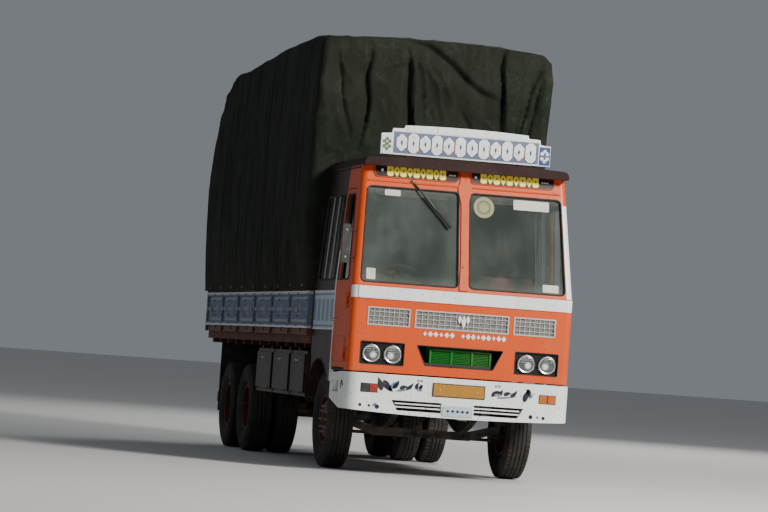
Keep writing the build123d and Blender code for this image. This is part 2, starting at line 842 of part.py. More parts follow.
def door_outline(gap, rear_gap):
    """Side outline of the doorway, or of the door when it is moved in by its gaps."""
    lean = (door_top - belt_height) * screen_slope
    front_low = door_front_at + gap
    rear = door_rear_at - rear_gap
    return [(front_low, door_bottom + gap), (front_low, belt_height), (front_low + lean, door_top - gap),
            (rear, door_top - gap), (rear, door_bottom + gap)]


def window_outline():
    """Side outline of a door's window, its front edge along the raked post."""
    low, high = window_z
    front = door_front_at + door_gap + door_frame
    rear = door_rear_at - door_rear_gap - door_frame
    low_front = front + (low - belt_height) * screen_slope
    high_front = front + (high - belt_height) * screen_slope
    return [(low_front, low), (high_front, high), (rear, high), (rear, low)]


def quarter_outline():
    """Side outline of the window behind the door."""
    low, high = window_z
    front = door_rear_at + quarter_window_margin
    rear = cab_back_at - quarter_window_margin
    return [(front, low), (front, high), (rear, high), (rear, low)]


def pane(side, stations):
    """One windscreen pane's form with rounded corners, between two stations."""
    inner = screen_post / 2
    outline = [(side * inner, pane_bottom), (side * pane_outer_bottom, pane_bottom),
               (side * pane_outer_top, pane_top), (side * inner, pane_top)]
    form = front_plate(outline, stations)
    return fillet(form.edges().filter_by(Axis.Y), pane_radius)


def cab_front(shell):
    """Front panel with its posts: windscreen, grilles, intake and the lamp recesses cut."""
    front = shell & side_plate([(0, 0), (door_front_at, 0), (door_front_at, belt_height),
                                (door_front_at + (cab_top - belt_height) * screen_slope, cab_top),
                                (0, cab_top)], (-beyond, beyond))
    front -= block((-beyond, beyond), (0, beyond), (0, cab_front_bottom))
    through = (0, cab_face_at + 2 * cab_wall)
    for side in (-1, 1):
        front -= pane(side, (0, slope_station(cab_top) + cab_wall))
        front -= block(sided(side, *lamp_panel_x), (0, cab_face_at + lamp_panel_depth), lamp_panel_z)
    for left, right, bars in grille_table:
        front -= block((left, right), through, (grille_bottom, grille_top))
    front -= front_plate([(-intake_bottom_half, intake_z[0]), (intake_bottom_half, intake_z[0]),
                          (intake_top_half, intake_z[1]), (-intake_top_half, intake_z[1])], through)
    belt_half = cab_half - cab_corner
    belt = block((-belt_half, belt_half), (cab_face_at - belt_proud, cab_face_at), belt_z)
    return front + belt + door_hinges(1) + door_hinges(-1)


def cab_sides(shell):
    """Cab sides behind the doors: quarter window and wheel arch cut, header over the door."""
    keep = side_plate([(door_rear_at, 0), (door_rear_at, door_top), (door_front_at + (door_top - belt_height)
                       * screen_slope, door_top),
                       (door_front_at + (cab_top - belt_height) * screen_slope, cab_top),
                       (cab_back_at - cab_wall, cab_top), (cab_back_at - cab_wall, 0)], (-beyond, beyond))
    sides = shell & keep
    sides -= side_plate(quarter_outline(), (-beyond, beyond))
    return Compound(children=sides.solids())


def cab_back(shell):
    """Rear wall of the cab with pressed upright ribs."""
    wall = shell & block((-beyond, beyond), (cab_back_at - cab_wall, cab_back_at + past), (floor_top, cab_top))
    for number in range(-3, 4):
        x = number * 300
        wall -= block((x - 60, x + 60), (cab_back_at - 12, cab_back_at + past),
                      (floor_top + 160, cab_top - 200))
    return wall


def door_hinges(side):
    """Fixed barrels above and below each of a door's, on leaves from the front post."""
    pieces = None
    for z in door_hinge_z:
        for end in (-1, 1):
            near = z + end * (door_barrel / 2 + hinge_play)
            limits = sorted((near, near + end * door_leaf))
            barrel = rod((side * door_hinge_x, door_hinge_at, limits[0]),
                         (side * door_hinge_x, door_hinge_at, limits[1]), hinge_radius)
            barrel += block(sided(side, cab_half + 1, door_hinge_x), (door_front_at - door_leaf, door_hinge_at),
                            limits)
            barrel += block(sided(side, cab_half - 2, door_hinge_x), (door_front_at - door_leaf, door_front_at),
                            limits)
            pieces = barrel if pieces is None else pieces + barrel
    return pieces


def door(shell, side):
    """A door with its window cut and two hinge barrels on its front edge."""
    zone = sided(side, 0, beyond)
    panel = shell & side_plate(door_outline(door_gap, door_rear_gap), zone)
    panel -= side_plate(window_outline(), zone)
    for z in door_hinge_z:
        panel += rod((side * door_hinge_x, door_hinge_at, z - door_barrel / 2),
                     (side * door_hinge_x, door_hinge_at, z + door_barrel / 2), hinge_radius)
        panel += block(sided(side, cab_half - 2, door_hinge_x), (door_hinge_at, door_hinge_at + door_leaf),
                       (z - door_barrel / 2, z + door_barrel / 2))
    panel += block(sided(side, cab_half, cab_half + 28), (door_rear_at - 190, door_rear_at - 70), handle_z)
    return panel


def roof_form(stations, inset=0, lowered=0):
    """The roof's form between two stations: upright edges, tight corners and a gentle crown."""
    y = along(stations[0])
    half = cab_top_half - inset
    low = cab_top - lowered
    edge = cab_top + roof_edge
    r = roof_corner - inset / 2
    top = edge + roof_corner - inset
    peak = cab_top + roof_crown - inset
    k = r * (1 - sqrt(0.5))
    outline = Polyline((half - r, y, low), (half, y, low), (half, y, top - r))
    outline += ThreePointArc((half, y, top - r), (half - k, y, top - k), (half - r, y, top))
    outline += ThreePointArc((half - r, y, top), (0, y, peak), (r - half, y, top))
    outline += ThreePointArc((r - half, y, top), (k - half, y, top - k), (-half, y, top - r))
    outline += Polyline((-half, y, top - r), (-half, y, low), (half - r, y, low))
    return extrude(make_face(outline), stations[1] - stations[0], dir=(0, 1, 0))


def cab_roof():
    """Crowned roof with a thin visor over the windscreen and pads for the sign board."""
    header_at = slope_station(cab_top)
    start = header_at - visor_reach
    high = cab_top + roof_crown
    roof = roof_form((start, cab_back_at))
    rake = side_plate([(start - past, 0), (slope_station(0), 0), (slope_station(high), high),
                       (start - past, high)], (-beyond, beyond))
    roof -= roof_form((start - past, slope_station(high)), roof_wall, past) & rake
    roof -= roof_form((header_at + roof_frame, cab_back_at - roof_frame), roof_wall, past)
    lip = (start, start + visor_lip[0])
    roof += roof_form(lip) - roof_form((lip[0] - past, lip[1] + past), roof_wall + visor_lip[1], past)
    for side in (-1, 1):
        pad = sided(side, sign_pad_x - 40, sign_pad_x + 40)
        roof += block(pad, (sign_at, sign_at + 50), (high - roof_wall, sign_bottom))
    return roof


def sign_board():
    """Name board on the roof, left blank: a raised middle with an arched strip on top."""
    y = along(sign_at + sign_seat)
    right = [(x, y, z) for x, z in sign_steps]
    left = [(-x, y, z) for x, y, z in reversed(right)]
    outline = Polyline(left[-1], (-sign_half, y, sign_bottom), (sign_half, y, sign_bottom), *right)
    outline += ThreePointArc(right[-1], (0, y, sign_top), left[0])
    outline += Polyline(*left)
    return extrude(make_face(outline), sign_thickness, dir=(0, 1, 0))


def cab_floor():
    """Floor on the rails with the engine's opening, door sills, front stays and seat boxes."""
    inner = cab_inner
    floor = block((-inner, inner), (cab_face_at + cab_wall, cab_back_at - cab_wall), (rail_top, floor_top))
    floor -= block((-floor_opening, floor_opening), (radiator_at - 40, cover_rear_at - 30),
                   (rail_top - past, floor_top + past))
    for side in (-1, 1):
        floor += block(sided(side, inner - 60, inner), (cab_face_at + cab_wall, door_rear_at),
                       (sill_bottom, rail_top))
        floor += block(sided(side, inner - 60, cab_half - 12), (door_front_at, door_rear_at),
                       (sill_bottom, door_bottom))
    for x, front, rear in seat_boxes:
        floor += block(x, (front, rear), (floor_top, seat_base))
    return floor


def engine_cover():
    """Cover over the engine between the seats, open below."""
    cover = block((-cover_half, cover_half), (cover_front_at, cover_rear_at), (floor_top, cover_top))
    cover = fillet(cover.edges().filter_by(Axis.Y).sort_by(Axis.Z)[-2:], 60)
    inside = block((-cover_half + 25, cover_half - 25), (cover_front_at + 25, cover_rear_at - 25),
                   (floor_top - past, cover_top - 30))
    return cover - inside


def seats():
    """Seat cushions and backs, and the bench along the back of the cab."""
    pieces = []
    for x, stations, z in cushions:
        pad = block(x, stations, z)
        pieces += fillet(pad.edges(), cushion_radius).solids()
    return Compound(children=pieces)


def dashboard():
    """Dashboard shelf across the cab with a lowered front edge and an instrument hood."""
    inner = cab_half - cab_wall - 8
    front = cab_face_at + cab_wall
    body = side_plate([(front, dash_z[0]), (dash_rear_at - 60, dash_z[0]), (dash_rear_at, dash_z[1] - 60),
                       (dash_rear_at - 30, dash_z[1]), (front, dash_z[1])], (-inner, inner))
    for side in (-1, 1):
        body -= block(sided(side, inner - 20, inner + past), (door_front_at - 5, beyond), (0, beyond))
    hood = side_plate([(dash_rear_at - 190, dash_z[1]), (dash_rear_at - 30, dash_z[1]),
                       (dash_rear_at - 60, dash_z[1] + 90), (dash_rear_at - 150, dash_z[1] + 70)],
                      (steer_x - hood_half, steer_x + hood_half))
    return body + hood + rod(column_point(column_run), column_point(steer_hub / 2 + touch), column_radius)


def column_point(below):
    """A point on the steering column's line, some way below the steering wheel."""
    tilt = radians(-steer_tilt)
    return (steer_x, steer_at - below * sin(tilt), steer_z - below * cos(tilt))


def steering_wheel():
    """Steering wheel about its column: rim, hub and three spokes."""
    wheel = Torus(steer_radius, steer_rim)
    wheel += Cylinder(45, steer_hub)
    for number in range(3):
        spoke = Pos((steer_radius - 5) / 2, 0, 0) * Box(steer_radius - 5, 26, 14)
        wheel += Rot(0, 0, number * 120 + 90) * spoke
    return Pos(steer_x, along(steer_at), steer_z) * Rot(steer_tilt, 0, 0) * wheel


def cab_glass():
    """Two windscreen panes set in the middle of the raked posts, and the quarter windows."""
    pieces = []
    inset = cab_wall / 2 - glass_thickness / 2
    low, high = belt_height, cab_top
    sheet = side_plate([(slope_station(low, inset), low), (slope_station(high, inset), high),
                        (slope_station(high, inset + glass_thickness), high),
                        (slope_station(low, inset + glass_thickness), low)], (-beyond, beyond))
    for side in (-1, 1):
        pieces += (sheet & pane(side, (0, slope_station(high) + cab_wall))).solids()
        low, high = window_z
        middle = cab_wall / 2
        t = glass_thickness / 2
        strip = [(side * side_half(z, middle + d), z) for z, d in ((low, -t), (high, -t), (high, t), (low, t))]
        front = door_rear_at + quarter_window_margin
        pieces += front_plate(strip, (front, cab_back_at - quarter_window_margin)).solids()
    return Compound(children=pieces)


def grilles():
    """Three grilles let into the front: a frame with upright bars and three cross bars."""
    pieces = []
    s = (cab_face_at - 6, cab_face_at - 6 + grille_depth)
    for left, right, bars in grille_table:
        frame = block((left, right), s, (grille_bottom, grille_top))
        frame -= block((left + grille_frame, right - grille_frame), (0, cab_face_at + grille_depth),
                       (grille_bottom + grille_frame, grille_top - grille_frame))
        inside = (s[0] + 8, s[0] + 16)
        pitch = (right - left - 2 * grille_frame) / (bars + 1)
        for number in range(bars):
            x = left + grille_frame + pitch * (number + 1)
            frame += block((x - 3, x + 3), inside, (grille_bottom + 2, grille_top - 2))
        rows = 3
        for number in range(rows):
            z = grille_bottom + (grille_top - grille_bottom) * (number + 1) / (rows + 1)
            frame += block((left + 2, right - 2), (inside[0] - 4, inside[1]), (z - 3, z + 3))
        pieces += frame.solids()
    return Compound(children=pieces)


def headlamps():
    """Four lamps in the recesses: a short bowl with a domed lens and a rim."""
    pieces = []
    seat = cab_face_at + lamp_panel_depth
    low = (Align.CENTER, Align.CENTER, Align.MIN)
    bowl = Cylinder(lamp_radius, lamp_panel_depth, align=low)
    lens_radius = lamp_radius - 8
    depth = lens_curve - sqrt(lens_curve ** 2 - lens_radius ** 2)
    dome = Pos(0, 0, lamp_panel_depth + depth - lens_curve) * Sphere(lens_curve)
    lamp = bowl + (dome & Pos(0, 0, lamp_panel_depth) * Cylinder(lens_radius, lens_radius, align=low))
    for x in (-lamp_x[1], -lamp_x[0], lamp_x[0], lamp_x[1]):
        pieces += (Pos(x, along(seat), lamp_height) * Rot(90, 0, 0) * lamp).solids()
    return Compound(children=pieces)


def bumper():
    """Deep pressed bumper: a channel wrapped round the corners, its lower edge bowed, two slots."""
    legs = along(bumper_return_at)
    half = bumper_half
    plan = Pos(0, (legs - half_length) / 2, 0) * Rectangle(2 * half, legs + half_length)
    plan = fillet(plan.vertices().sort_by(Axis.Y)[:2], bumper_corner)
    inner = Rectangle(2 * (half - bumper_wall), legs + half_length)
    inner = Pos(0, (legs - half_length) / 2 + bumper_wall, 0) * inner
    inner = fillet(inner.vertices().sort_by(Axis.Y)[:2], bumper_corner - bumper_wall)
    ring = extrude(plan - inner, 2 * bumper_top)
    side = side_plate([(-10, 600), (-10, bumper_top), (240, bumper_top), (bumper_return_at + 10, 1020),
                       (bumper_return_at + 10, 760), (320, 660)], (-beyond, beyond))
    y = along(0)
    bow = ThreePointArc((-half, y, bumper_low_end), (0, y, bumper_low_middle), (half, y, bumper_low_end))
    bow += Polyline((half, y, bumper_low_end), (half, y, bumper_top), (-half, y, bumper_top),
                    (-half, y, bumper_low_end))
    shape = ring & side & extrude(make_face(bow), beyond, dir=(0, 1, 0))
    for mark in (-1, 1):
        shape -= front_plate([(mark * slot_inner_x, slot_z[0]), (mark * (slot_outer_x - slot_slant), slot_z[0]),
                              (mark * slot_outer_x, slot_z[1]), (mark * slot_inner_x, slot_z[1])],
                             (-past, bumper_wall + past))
        for share in (0.36, 0.70):
            z = slot_z[0] + (slot_z[1] - slot_z[0]) * share
            x = sided(mark, slot_inner_x - 1, slot_outer_x - slot_slant + 20)
            shape += block(x, (18, 30), (z - slot_bar, z + slot_bar))
        foot_x = sided(mark, half - bumper_wall - past, half + past)
        shape -= block(foot_x, step_at, step_z)
        shape += block(sided(mark, half - bumper_wall - 60, half - 4), step_at,
                       (step_z[0] - step_tread, step_z[0]))
        mount = sided(mark, rail_web_x - rail_flange, rail_web_x)
        shape += block(mount, (bumper_wall - 1, rail_front_at), (rail_bottom, bumper_top - 20))
    return shape


def mirror_assembly():
    """Driver's mirror: a head on two arms from the corner post."""
    x = -cab_half - mirror_out
    head = block((x - mirror_half, x + mirror_half), mirror_at, mirror_z)
    for z in mirror_arm_z:
        head += rod((-side_half(z) + 20, slope_station(z) + 90, z), (x, mirror_at[1], z), mirror_arm_radius)
    return head - cab_solid(0)


# Load body

def deck_bearers():
    """Two runners on the rails, the cross bearers on them, a rave on each side and the rear sill."""
    length = (body_front_at, body_rear_at)
    runner = block((rail_web_x - 80, rail_web_x), length, (rail_top, bearer_bottom - touch))
    rave = block((board_inner - rave_width, board_inner), length, (deck_bottom - rave_drop, deck_bottom))
    pieces = [*both(runner).solids(), *both(rave).solids()]
    reach = board_inner - rave_width - touch
    for number in range(bearer_count + 1):
        start = body_front_at + number * bearer_step
        bearer = block((-reach, reach), (start, start + bearer_width), (bearer_bottom, deck_bottom))
        if number == bearer_count:
            bearer += block((-reach, reach), (deck_rear_at, body_rear_at), (deck_bottom, deck_top))
            bearer += gate_hinges()
        pieces += bearer.solids()
    return Compound(children=pieces)


def deck_floor():
    """Planks between the headboard and the rear sill, with a groove at each joint."""
    floor = block((-board_inner, board_inner), (deck_front_at, deck_rear_at), (deck_bottom, deck_top))
    joints = int(board_inner // plank_width)
    groove_width, groove_depth = plank_groove
    for number in range(-joints, joints + 1):
        x = number * plank_width
        groove_x = (x - groove_width / 2, x + groove_width / 2)
        floor -= block(groove_x, (deck_front_at - past, deck_rear_at + past),
                       (deck_top - groove_depth, deck_top + past))
    return floor


def side_board():
    """Left side of the body: boards inside, ribs and the painted rails outside."""
    length = (body_front_at, body_rear_at)
    low = deck_bottom
    wall = block((board_inner, board_outer), length, (low, board_top))
    for z in (band_bottom, (band_bottom + band_top) / 2 - 20, band_top - 45):
        wall += block((board_outer, body_half), length, (z, z + 45))
    count = int((body_rear_at - body_front_at - rib_width) // rib_pitch)
    pitch = (body_rear_at - body_front_at - rib_width) / count
    for number in range(count + 1):
        start = body_front_at + number * pitch
        wall += block((board_outer, body_half), (start, start + rib_width), (low, board_top))
    return wall


def headboard():
    """Front wall of the body: a boarded panel with a capping rail and three posts."""
    s = (body_front_at, deck_front_at)
    wall = block((-board_inner, board_inner), s, (deck_bottom, headboard_top))
    reach = board_inner - post_margin
    for x in (-reach, 0, reach):
        wall += block((x - headboard_post / 2, x + headboard_post / 2), (s[1], s[1] + headboard_post / 2),
                      (deck_top, headboard_top))
    return wall


def tarp_section(station, top, inset=0, low=None):
    """Outline of the tarpaulin across the truck: bulged sides, rounded shoulders, crowned top."""
    y = along(station)
    hem = tarp_hem if low is None else low
    half = tarp_half - inset
    peak = top - inset
    r = tarp_corner - inset / 2
    shoulder = peak - tarp_crown - r
    middle = (hem + shoulder) / 2
    k = r * (1 - sqrt(0.5))
    edges = Line((-half, y, hem), (half, y, hem))
    edges += ThreePointArc((half, y, hem), (half + tarp_bulge, y, middle), (half, y, shoulder))
    edges += ThreePointArc((half, y, shoulder), (half - k, y, shoulder + r - k), (half - r, y, shoulder + r))
    edges += ThreePointArc((half - r, y, shoulder + r), (0, y, peak), (r - half, y, shoulder + r))
    edges += ThreePointArc((r - half, y, shoulder + r), (k - half, y, shoulder + r - k), (-half, y, shoulder))
    edges += ThreePointArc((-half, y, shoulder), (-half - tarp_bulge, y, middle), (-half, y, hem))
    return make_face(edges)


def tarpaulin():
    """The cover as one thick sheet, closed in front and behind and open below."""
    outer = loft([tarp_section(station, top) for station, top in tarp_table], ruled=True)
    inner_rows = [list(row) for row in tarp_table]
    inner_rows[0][0] += tarp_wall
    inner_rows[-1][0] -= tarp_wall
    inner = loft([tarp_section(station, top, tarp_wall, tarp_hem - past) for station, top in inner_rows],
                 ruled=True)
    return outer - inner


def tarp_top(station):
    """Height of the tarpaulin's top at a station, between the rows of its table."""
    for (front, high), (rear, low) in zip(tarp_table, tarp_table[1:]):
        if front <= station <= rear:
            return high + (low - high) * (station - front) / (rear - front)
    return tarp_table[-1][1]


def tarp_hoops():
    """Tubular hoops that stand inside the side boards and carry the tarpaulin's top."""
    hoops = []
    outer = board_inner - 2
    for number in range(hoop_count):
        station = first_hoop_at + number * hoop_pitch
        top = min(tarp_top(station), tarp_top(station + hoop_size))
        ends = (station, station + hoop_size)
        face = tarp_section(station, top, tarp_wall + touch, deck_top)
        clear = tarp_section(station, top, tarp_wall + touch + hoop_size, deck_top - past)
        ring = extrude(face, hoop_size, dir=(0, 1, 0)) & block((-outer, outer), ends, (deck_top, top))
        inside = extrude(clear, hoop_size, dir=(0, 1, 0))
        inside &= block((-outer + hoop_size, outer - hoop_size), ends, (0, top))
        hoops += (ring - inside).solids()
    return Compound(children=hoops)


def tailgate():
    """Drop board at the rear with its ribs and its hinge barrels."""
    s = (deck_rear_at, body_rear_at)
    half = board_inner - tailgate_gap
    gate = block((-half, half), s, (deck_top + tailgate_gap, band_top))
    gate -= block((-half + 60, half - 60), (s[1] - 14, s[1] + past), (deck_top + 70, band_top - 60))
    for x in gate_rib_x:
        gate += block((x - 30, x + 30), (s[1] - 15, s[1]), (deck_top + 60, band_top - 50))
    for x in gate_hinge_x:
        gate += rod((x - gate_barrel / 2, gate_hinge_at, gate_hinge_z),
                    (x + gate_barrel / 2, gate_hinge_at, gate_hinge_z), hinge_radius)
        gate += block((x - gate_barrel / 2, x + gate_barrel / 2), (s[1] - 2, gate_hinge_at),
                      (gate_hinge_z, gate_hinge_z + hinge_radius))
        gate += block((x - 20, x + 20), (s[1] - 14, s[1] + 8), (gate_hinge_z + 5, band_top - 120))
    return gate


def gate_hinges():
    """Fixed barrels beside each of the tailgate's, on leaves from the deck's rear edge."""
    pieces = None
    for x in gate_hinge_x:
        for side in (-1, 1):
            near = x + side * (gate_barrel / 2 + hinge_play)
            limits = sorted((near, near + side * gate_barrel / 2))
            barrel = rod((limits[0], gate_hinge_at, gate_hinge_z), (limits[1], gate_hinge_at, gate_hinge_z),
                         hinge_radius)
            barrel += block(limits, (body_rear_at, gate_hinge_at), (deck_bottom - 60, gate_hinge_z))
            pieces = barrel if pieces is None else pieces + barrel
    return pieces


def rear_bar():
    """Underrun bar on two arms below the rails, with a lamp board at each side."""
    back = rail_rear_at - 30
    low, high = rear_bar_z
    bar = block((-rear_bar_half, rear_bar_half), (back - rear_bar_depth, back), rear_bar_z)
    length, depth = lamp_board
    for side in (-1, 1):
        arm_at = (back - rear_bar_depth - 10, back + 10)
        bar += block(sided(side, rail_web_x - rail_flange + 5, rail_web_x), arm_at, (low, rail_bottom))
        bar += block(sided(side, rear_bar_half - 20 - length, rear_bar_half - 20), (back, back + depth),
                     (low + 10, high - 10))
    return bar


def mudflaps():
    """Rubber flaps behind the rear tyres, each on a tongue from the rail's web."""
    stations = (flap_at, flap_at + flap_thickness)
    flap = block((dual_x - flap_half, dual_x + flap_half), stations, (flap_low, bearer_bottom))
    flap += block((rail_web_x, dual_x), stations, (rail_bottom + 30, rail_top - 30))
    return both(flap)


# Assembly of the wheels about their axles

def left_right(shape):
    return {"left": shape, "right": mirrored(shape)}


os.makedirs("parts", exist_ok=True)
shell = cab_shell()

nodes = {
    "chassis_frame": chassis_frame(),
    "tow_jaw": tow_jaw(),
    "engine": engine(),
    "radiator": radiator(),
    "front_axle": front_axle(),
    "leaf_springs": Compound(children=[*both(front_spring()).solids(), *both(bogie_spring()).solids()]),
    "drive_axle": dual_axle(drive_axle_at, True),
    "tag_axle": dual_axle(tag_axle_at, False),
    "propeller_shaft": propeller_shaft(),
    "tanks": tanks(),
    "side_boxes": side_boxes(),
    "cab_floor": cab_floor(),
    "cab_front": cab_front(shell),
    "cab_sides": cab_sides(shell),
    "cab_back": cab_back(shell),
    "cab_roof": cab_roof(),
    "cab_glass": cab_glass(),
    "bumper": bumper(),
    "grilles": grilles(),
    "headlamps": headlamps(),
    "sign_board": sign_board(),
    "mirror": mirror_assembly(),
    "engine_cover": engine_cover(),
    "seats": seats(),
    "dashboard": dashboard(),
    "steering_wheel": steering_wheel(),
    "deck_bearers": deck_bearers(),
    "deck_floor": deck_floor(),
    "side_boards": both(side_board()),
    "headboard": headboard(),
    "tarp_hoops": tarp_hoops(),
    "tarpaulin": tarpaulin(),
    "tailgate": tailgate(),
    "rear_bar": rear_bar(),
    "mudflaps": mudflaps(),
    "door_left": door(shell, 1),
    "door_right": door(shell, -1),
    "knuckle_left": knuckle(),
    "knuckle_right": mirrored(knuckle()),
    "track_rod": track_rod(),
}

# Wheel sets: name, centre x, station, tyres, wheel
wheel_sets = [
    ("front", front_tyre_x, front_axle_at, tyre(), front_wheel()),
    ("drive", dual_x, drive_axle_at, dual_tyres(), dual_wheel()),
    ("tag", dual_x, tag_axle_at, dual_tyres(), dual_wheel()),
]
for name, x, station, tyres, wheel in wheel_sets:
    for side, solid in left_right(place(tyres, x, station, tyre_radius)).items():
        nodes[f"tyre_{name}_{side}"] = solid
    for side, solid in left_right(place(wheel, x, station, tyre_radius)).items():
        nodes[f"wheel_{name}_{side}"] = solid

for name, shape in nodes.items():
    export_step(shape, f"parts/{name}.step")
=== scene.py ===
"""Looks of a painted goods truck: every piece is dressed here around the fixed CAD frame, in metres."""

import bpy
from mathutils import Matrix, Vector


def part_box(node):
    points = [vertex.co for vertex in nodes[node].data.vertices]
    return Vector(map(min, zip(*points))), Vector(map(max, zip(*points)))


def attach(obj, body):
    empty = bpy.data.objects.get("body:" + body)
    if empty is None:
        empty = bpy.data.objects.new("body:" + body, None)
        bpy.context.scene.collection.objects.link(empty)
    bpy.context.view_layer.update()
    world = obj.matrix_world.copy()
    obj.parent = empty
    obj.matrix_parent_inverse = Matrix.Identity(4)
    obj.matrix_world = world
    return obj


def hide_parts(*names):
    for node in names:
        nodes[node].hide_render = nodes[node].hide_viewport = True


bl_info = {
    "name": "Painted goods truck",
    "version": (1, 0, 0),
    "blender": (4, 5, 0),
    "location": "View3D > Sidebar > Truck",
    "description": "Builds the finishes and small pieces of a coach-built goods truck",
    "category": "Object",
}

from math import atan2, cos, exp, hypot, inf, pi, radians, sin, sqrt, tau

import bmesh
import bpy
from bpy.props import FloatProperty, FloatVectorProperty, IntProperty, PointerProperty
from bpy.types import Operator, Panel, PropertyGroup, Scene
from mathutils import Matrix, Vector, noise

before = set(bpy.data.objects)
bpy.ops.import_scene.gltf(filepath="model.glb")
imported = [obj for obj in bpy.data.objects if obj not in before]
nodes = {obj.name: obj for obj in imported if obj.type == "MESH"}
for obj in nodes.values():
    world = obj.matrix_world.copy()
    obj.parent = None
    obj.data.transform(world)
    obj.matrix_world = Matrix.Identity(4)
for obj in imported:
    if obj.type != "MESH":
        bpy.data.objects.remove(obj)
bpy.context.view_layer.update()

# Places read from the frame
BUMPER_LOW, BUMPER_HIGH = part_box("bumper")
BOARDS_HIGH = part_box("side_boards")[1]
TARP_LOW, TARP_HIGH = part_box("tarpaulin")
GATE_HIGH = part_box("tailgate")[1]
NOSE_Y = BUMPER_LOW.y
FACE_Y = NOSE_Y + 0.07
GROUND_Z = 0.0

# Places on the cab, as in its drawing
BELT_Z = 1.95
SCREEN_FOOT_Y = FACE_Y + 0.03
SCREEN_SLOPE = 0.26
CAB_TOP_Z = 3.2
CAB_HALF = 1.175
CAB_TOP_HALF = 1.092
BAND_LOW_Z = 1.475
BAND_HIGH_Z = 1.877
PANE_INNER_X = 0.06
PANE_BOTTOM_Z = 1.985
PANE_TOP_Z = 2.985
PANE_OUTER_BOTTOM_X = 1.09
PANE_OUTER_TOP_X = 1.035
WHEELS = (("front", 0.975, 1.65), ("drive", 0.91, 6.05), ("tag", 0.91, 7.35))
DUAL_SPACING = 0.312
TYRE_RADIUS = 0.515
SIDES = (("left", 1), ("right", -1))
LAMP_X = (0.71, 0.935)
LAMP_Z = 1.25
LAMP_RECESS_X = (0.59, 1.05)
LAMP_RECESS_Z = (1.14, 1.37)
INTAKE_Z = (1.16, 1.363)
INTAKE_HALF = (0.36, 0.457)
GRILLE_Z = (1.54, 1.73)
GRILLE_REACH = 1.0
WINDOW_Z = (2.0, 2.897)
FORWARD = (0, -1, 0)


def at(station):
    """Y of a place given in metres behind the bumper's front."""
    return NOSE_Y + station


def screen_y(z):
    """Y of the raked front of the cab at a height."""
    return SCREEN_FOOT_Y + (z - BELT_Z) * SCREEN_SLOPE


def cab_half(z):
    """Half-width of the cab at a height."""
    lean = max(0.0, z - BELT_Z) / (CAB_TOP_Z - BELT_Z)
    return CAB_HALF - (CAB_HALF - CAB_TOP_HALF) * lean


def maths(operation, reflected=False):
    """A method that adds one Math node; a reflected one takes its operands the other way round."""
    def method(self, *others):
        operands = (*others, self) if reflected else (self, *others)
        return self.finish.add("ShaderNodeMath", {"operation": operation}, dict(enumerate(operands)))
    return method


class Value:
    """A shader socket that does maths: an expression on values adds its nodes."""

    def __init__(self, finish, socket):
        self.finish = finish
        self.socket = socket

    __add__, __radd__ = maths("ADD"), maths("ADD", reflected=True)
    __sub__, __rsub__ = maths("SUBTRACT"), maths("SUBTRACT", reflected=True)
    __mul__, __rmul__ = maths("MULTIPLY"), maths("MULTIPLY", reflected=True)
    __pow__, __rpow__ = maths("POWER"), maths("POWER", reflected=True)
    __abs__, sine = maths("ABSOLUTE"), maths("SINE")
    smallest, largest = maths("MINIMUM"), maths("MAXIMUM")

    def wave(self, period):
        """A triangle wave of that period, from 0 to half the period."""
        return maths("PINGPONG")(self, period / 2)

    def _ramp(self, start, end, first, last):
        """A smooth ramp from one number to another between two places."""
        inputs = {"Value": self, "From Min": start, "From Max": end, "To Min": first, "To Max": last}
        return self.finish.add("ShaderNodeMapRange", {"interpolation_type": "SMOOTHSTEP"}, inputs)

    def rise(self, start, end):
        """0 before start, 1 after end, smooth between."""
        return self._ramp(start, end, 0.0, 1.0)

    def fall(self, start, end):
        """1 before start, 0 after end, smooth between."""
        return self._ramp(start, end, 1.0, 0.0)

    def between(self, low, high, soft=0.004):
        """1 between two limits."""
        return self.rise(low - soft, low + soft) * self.fall(high - soft, high + soft)


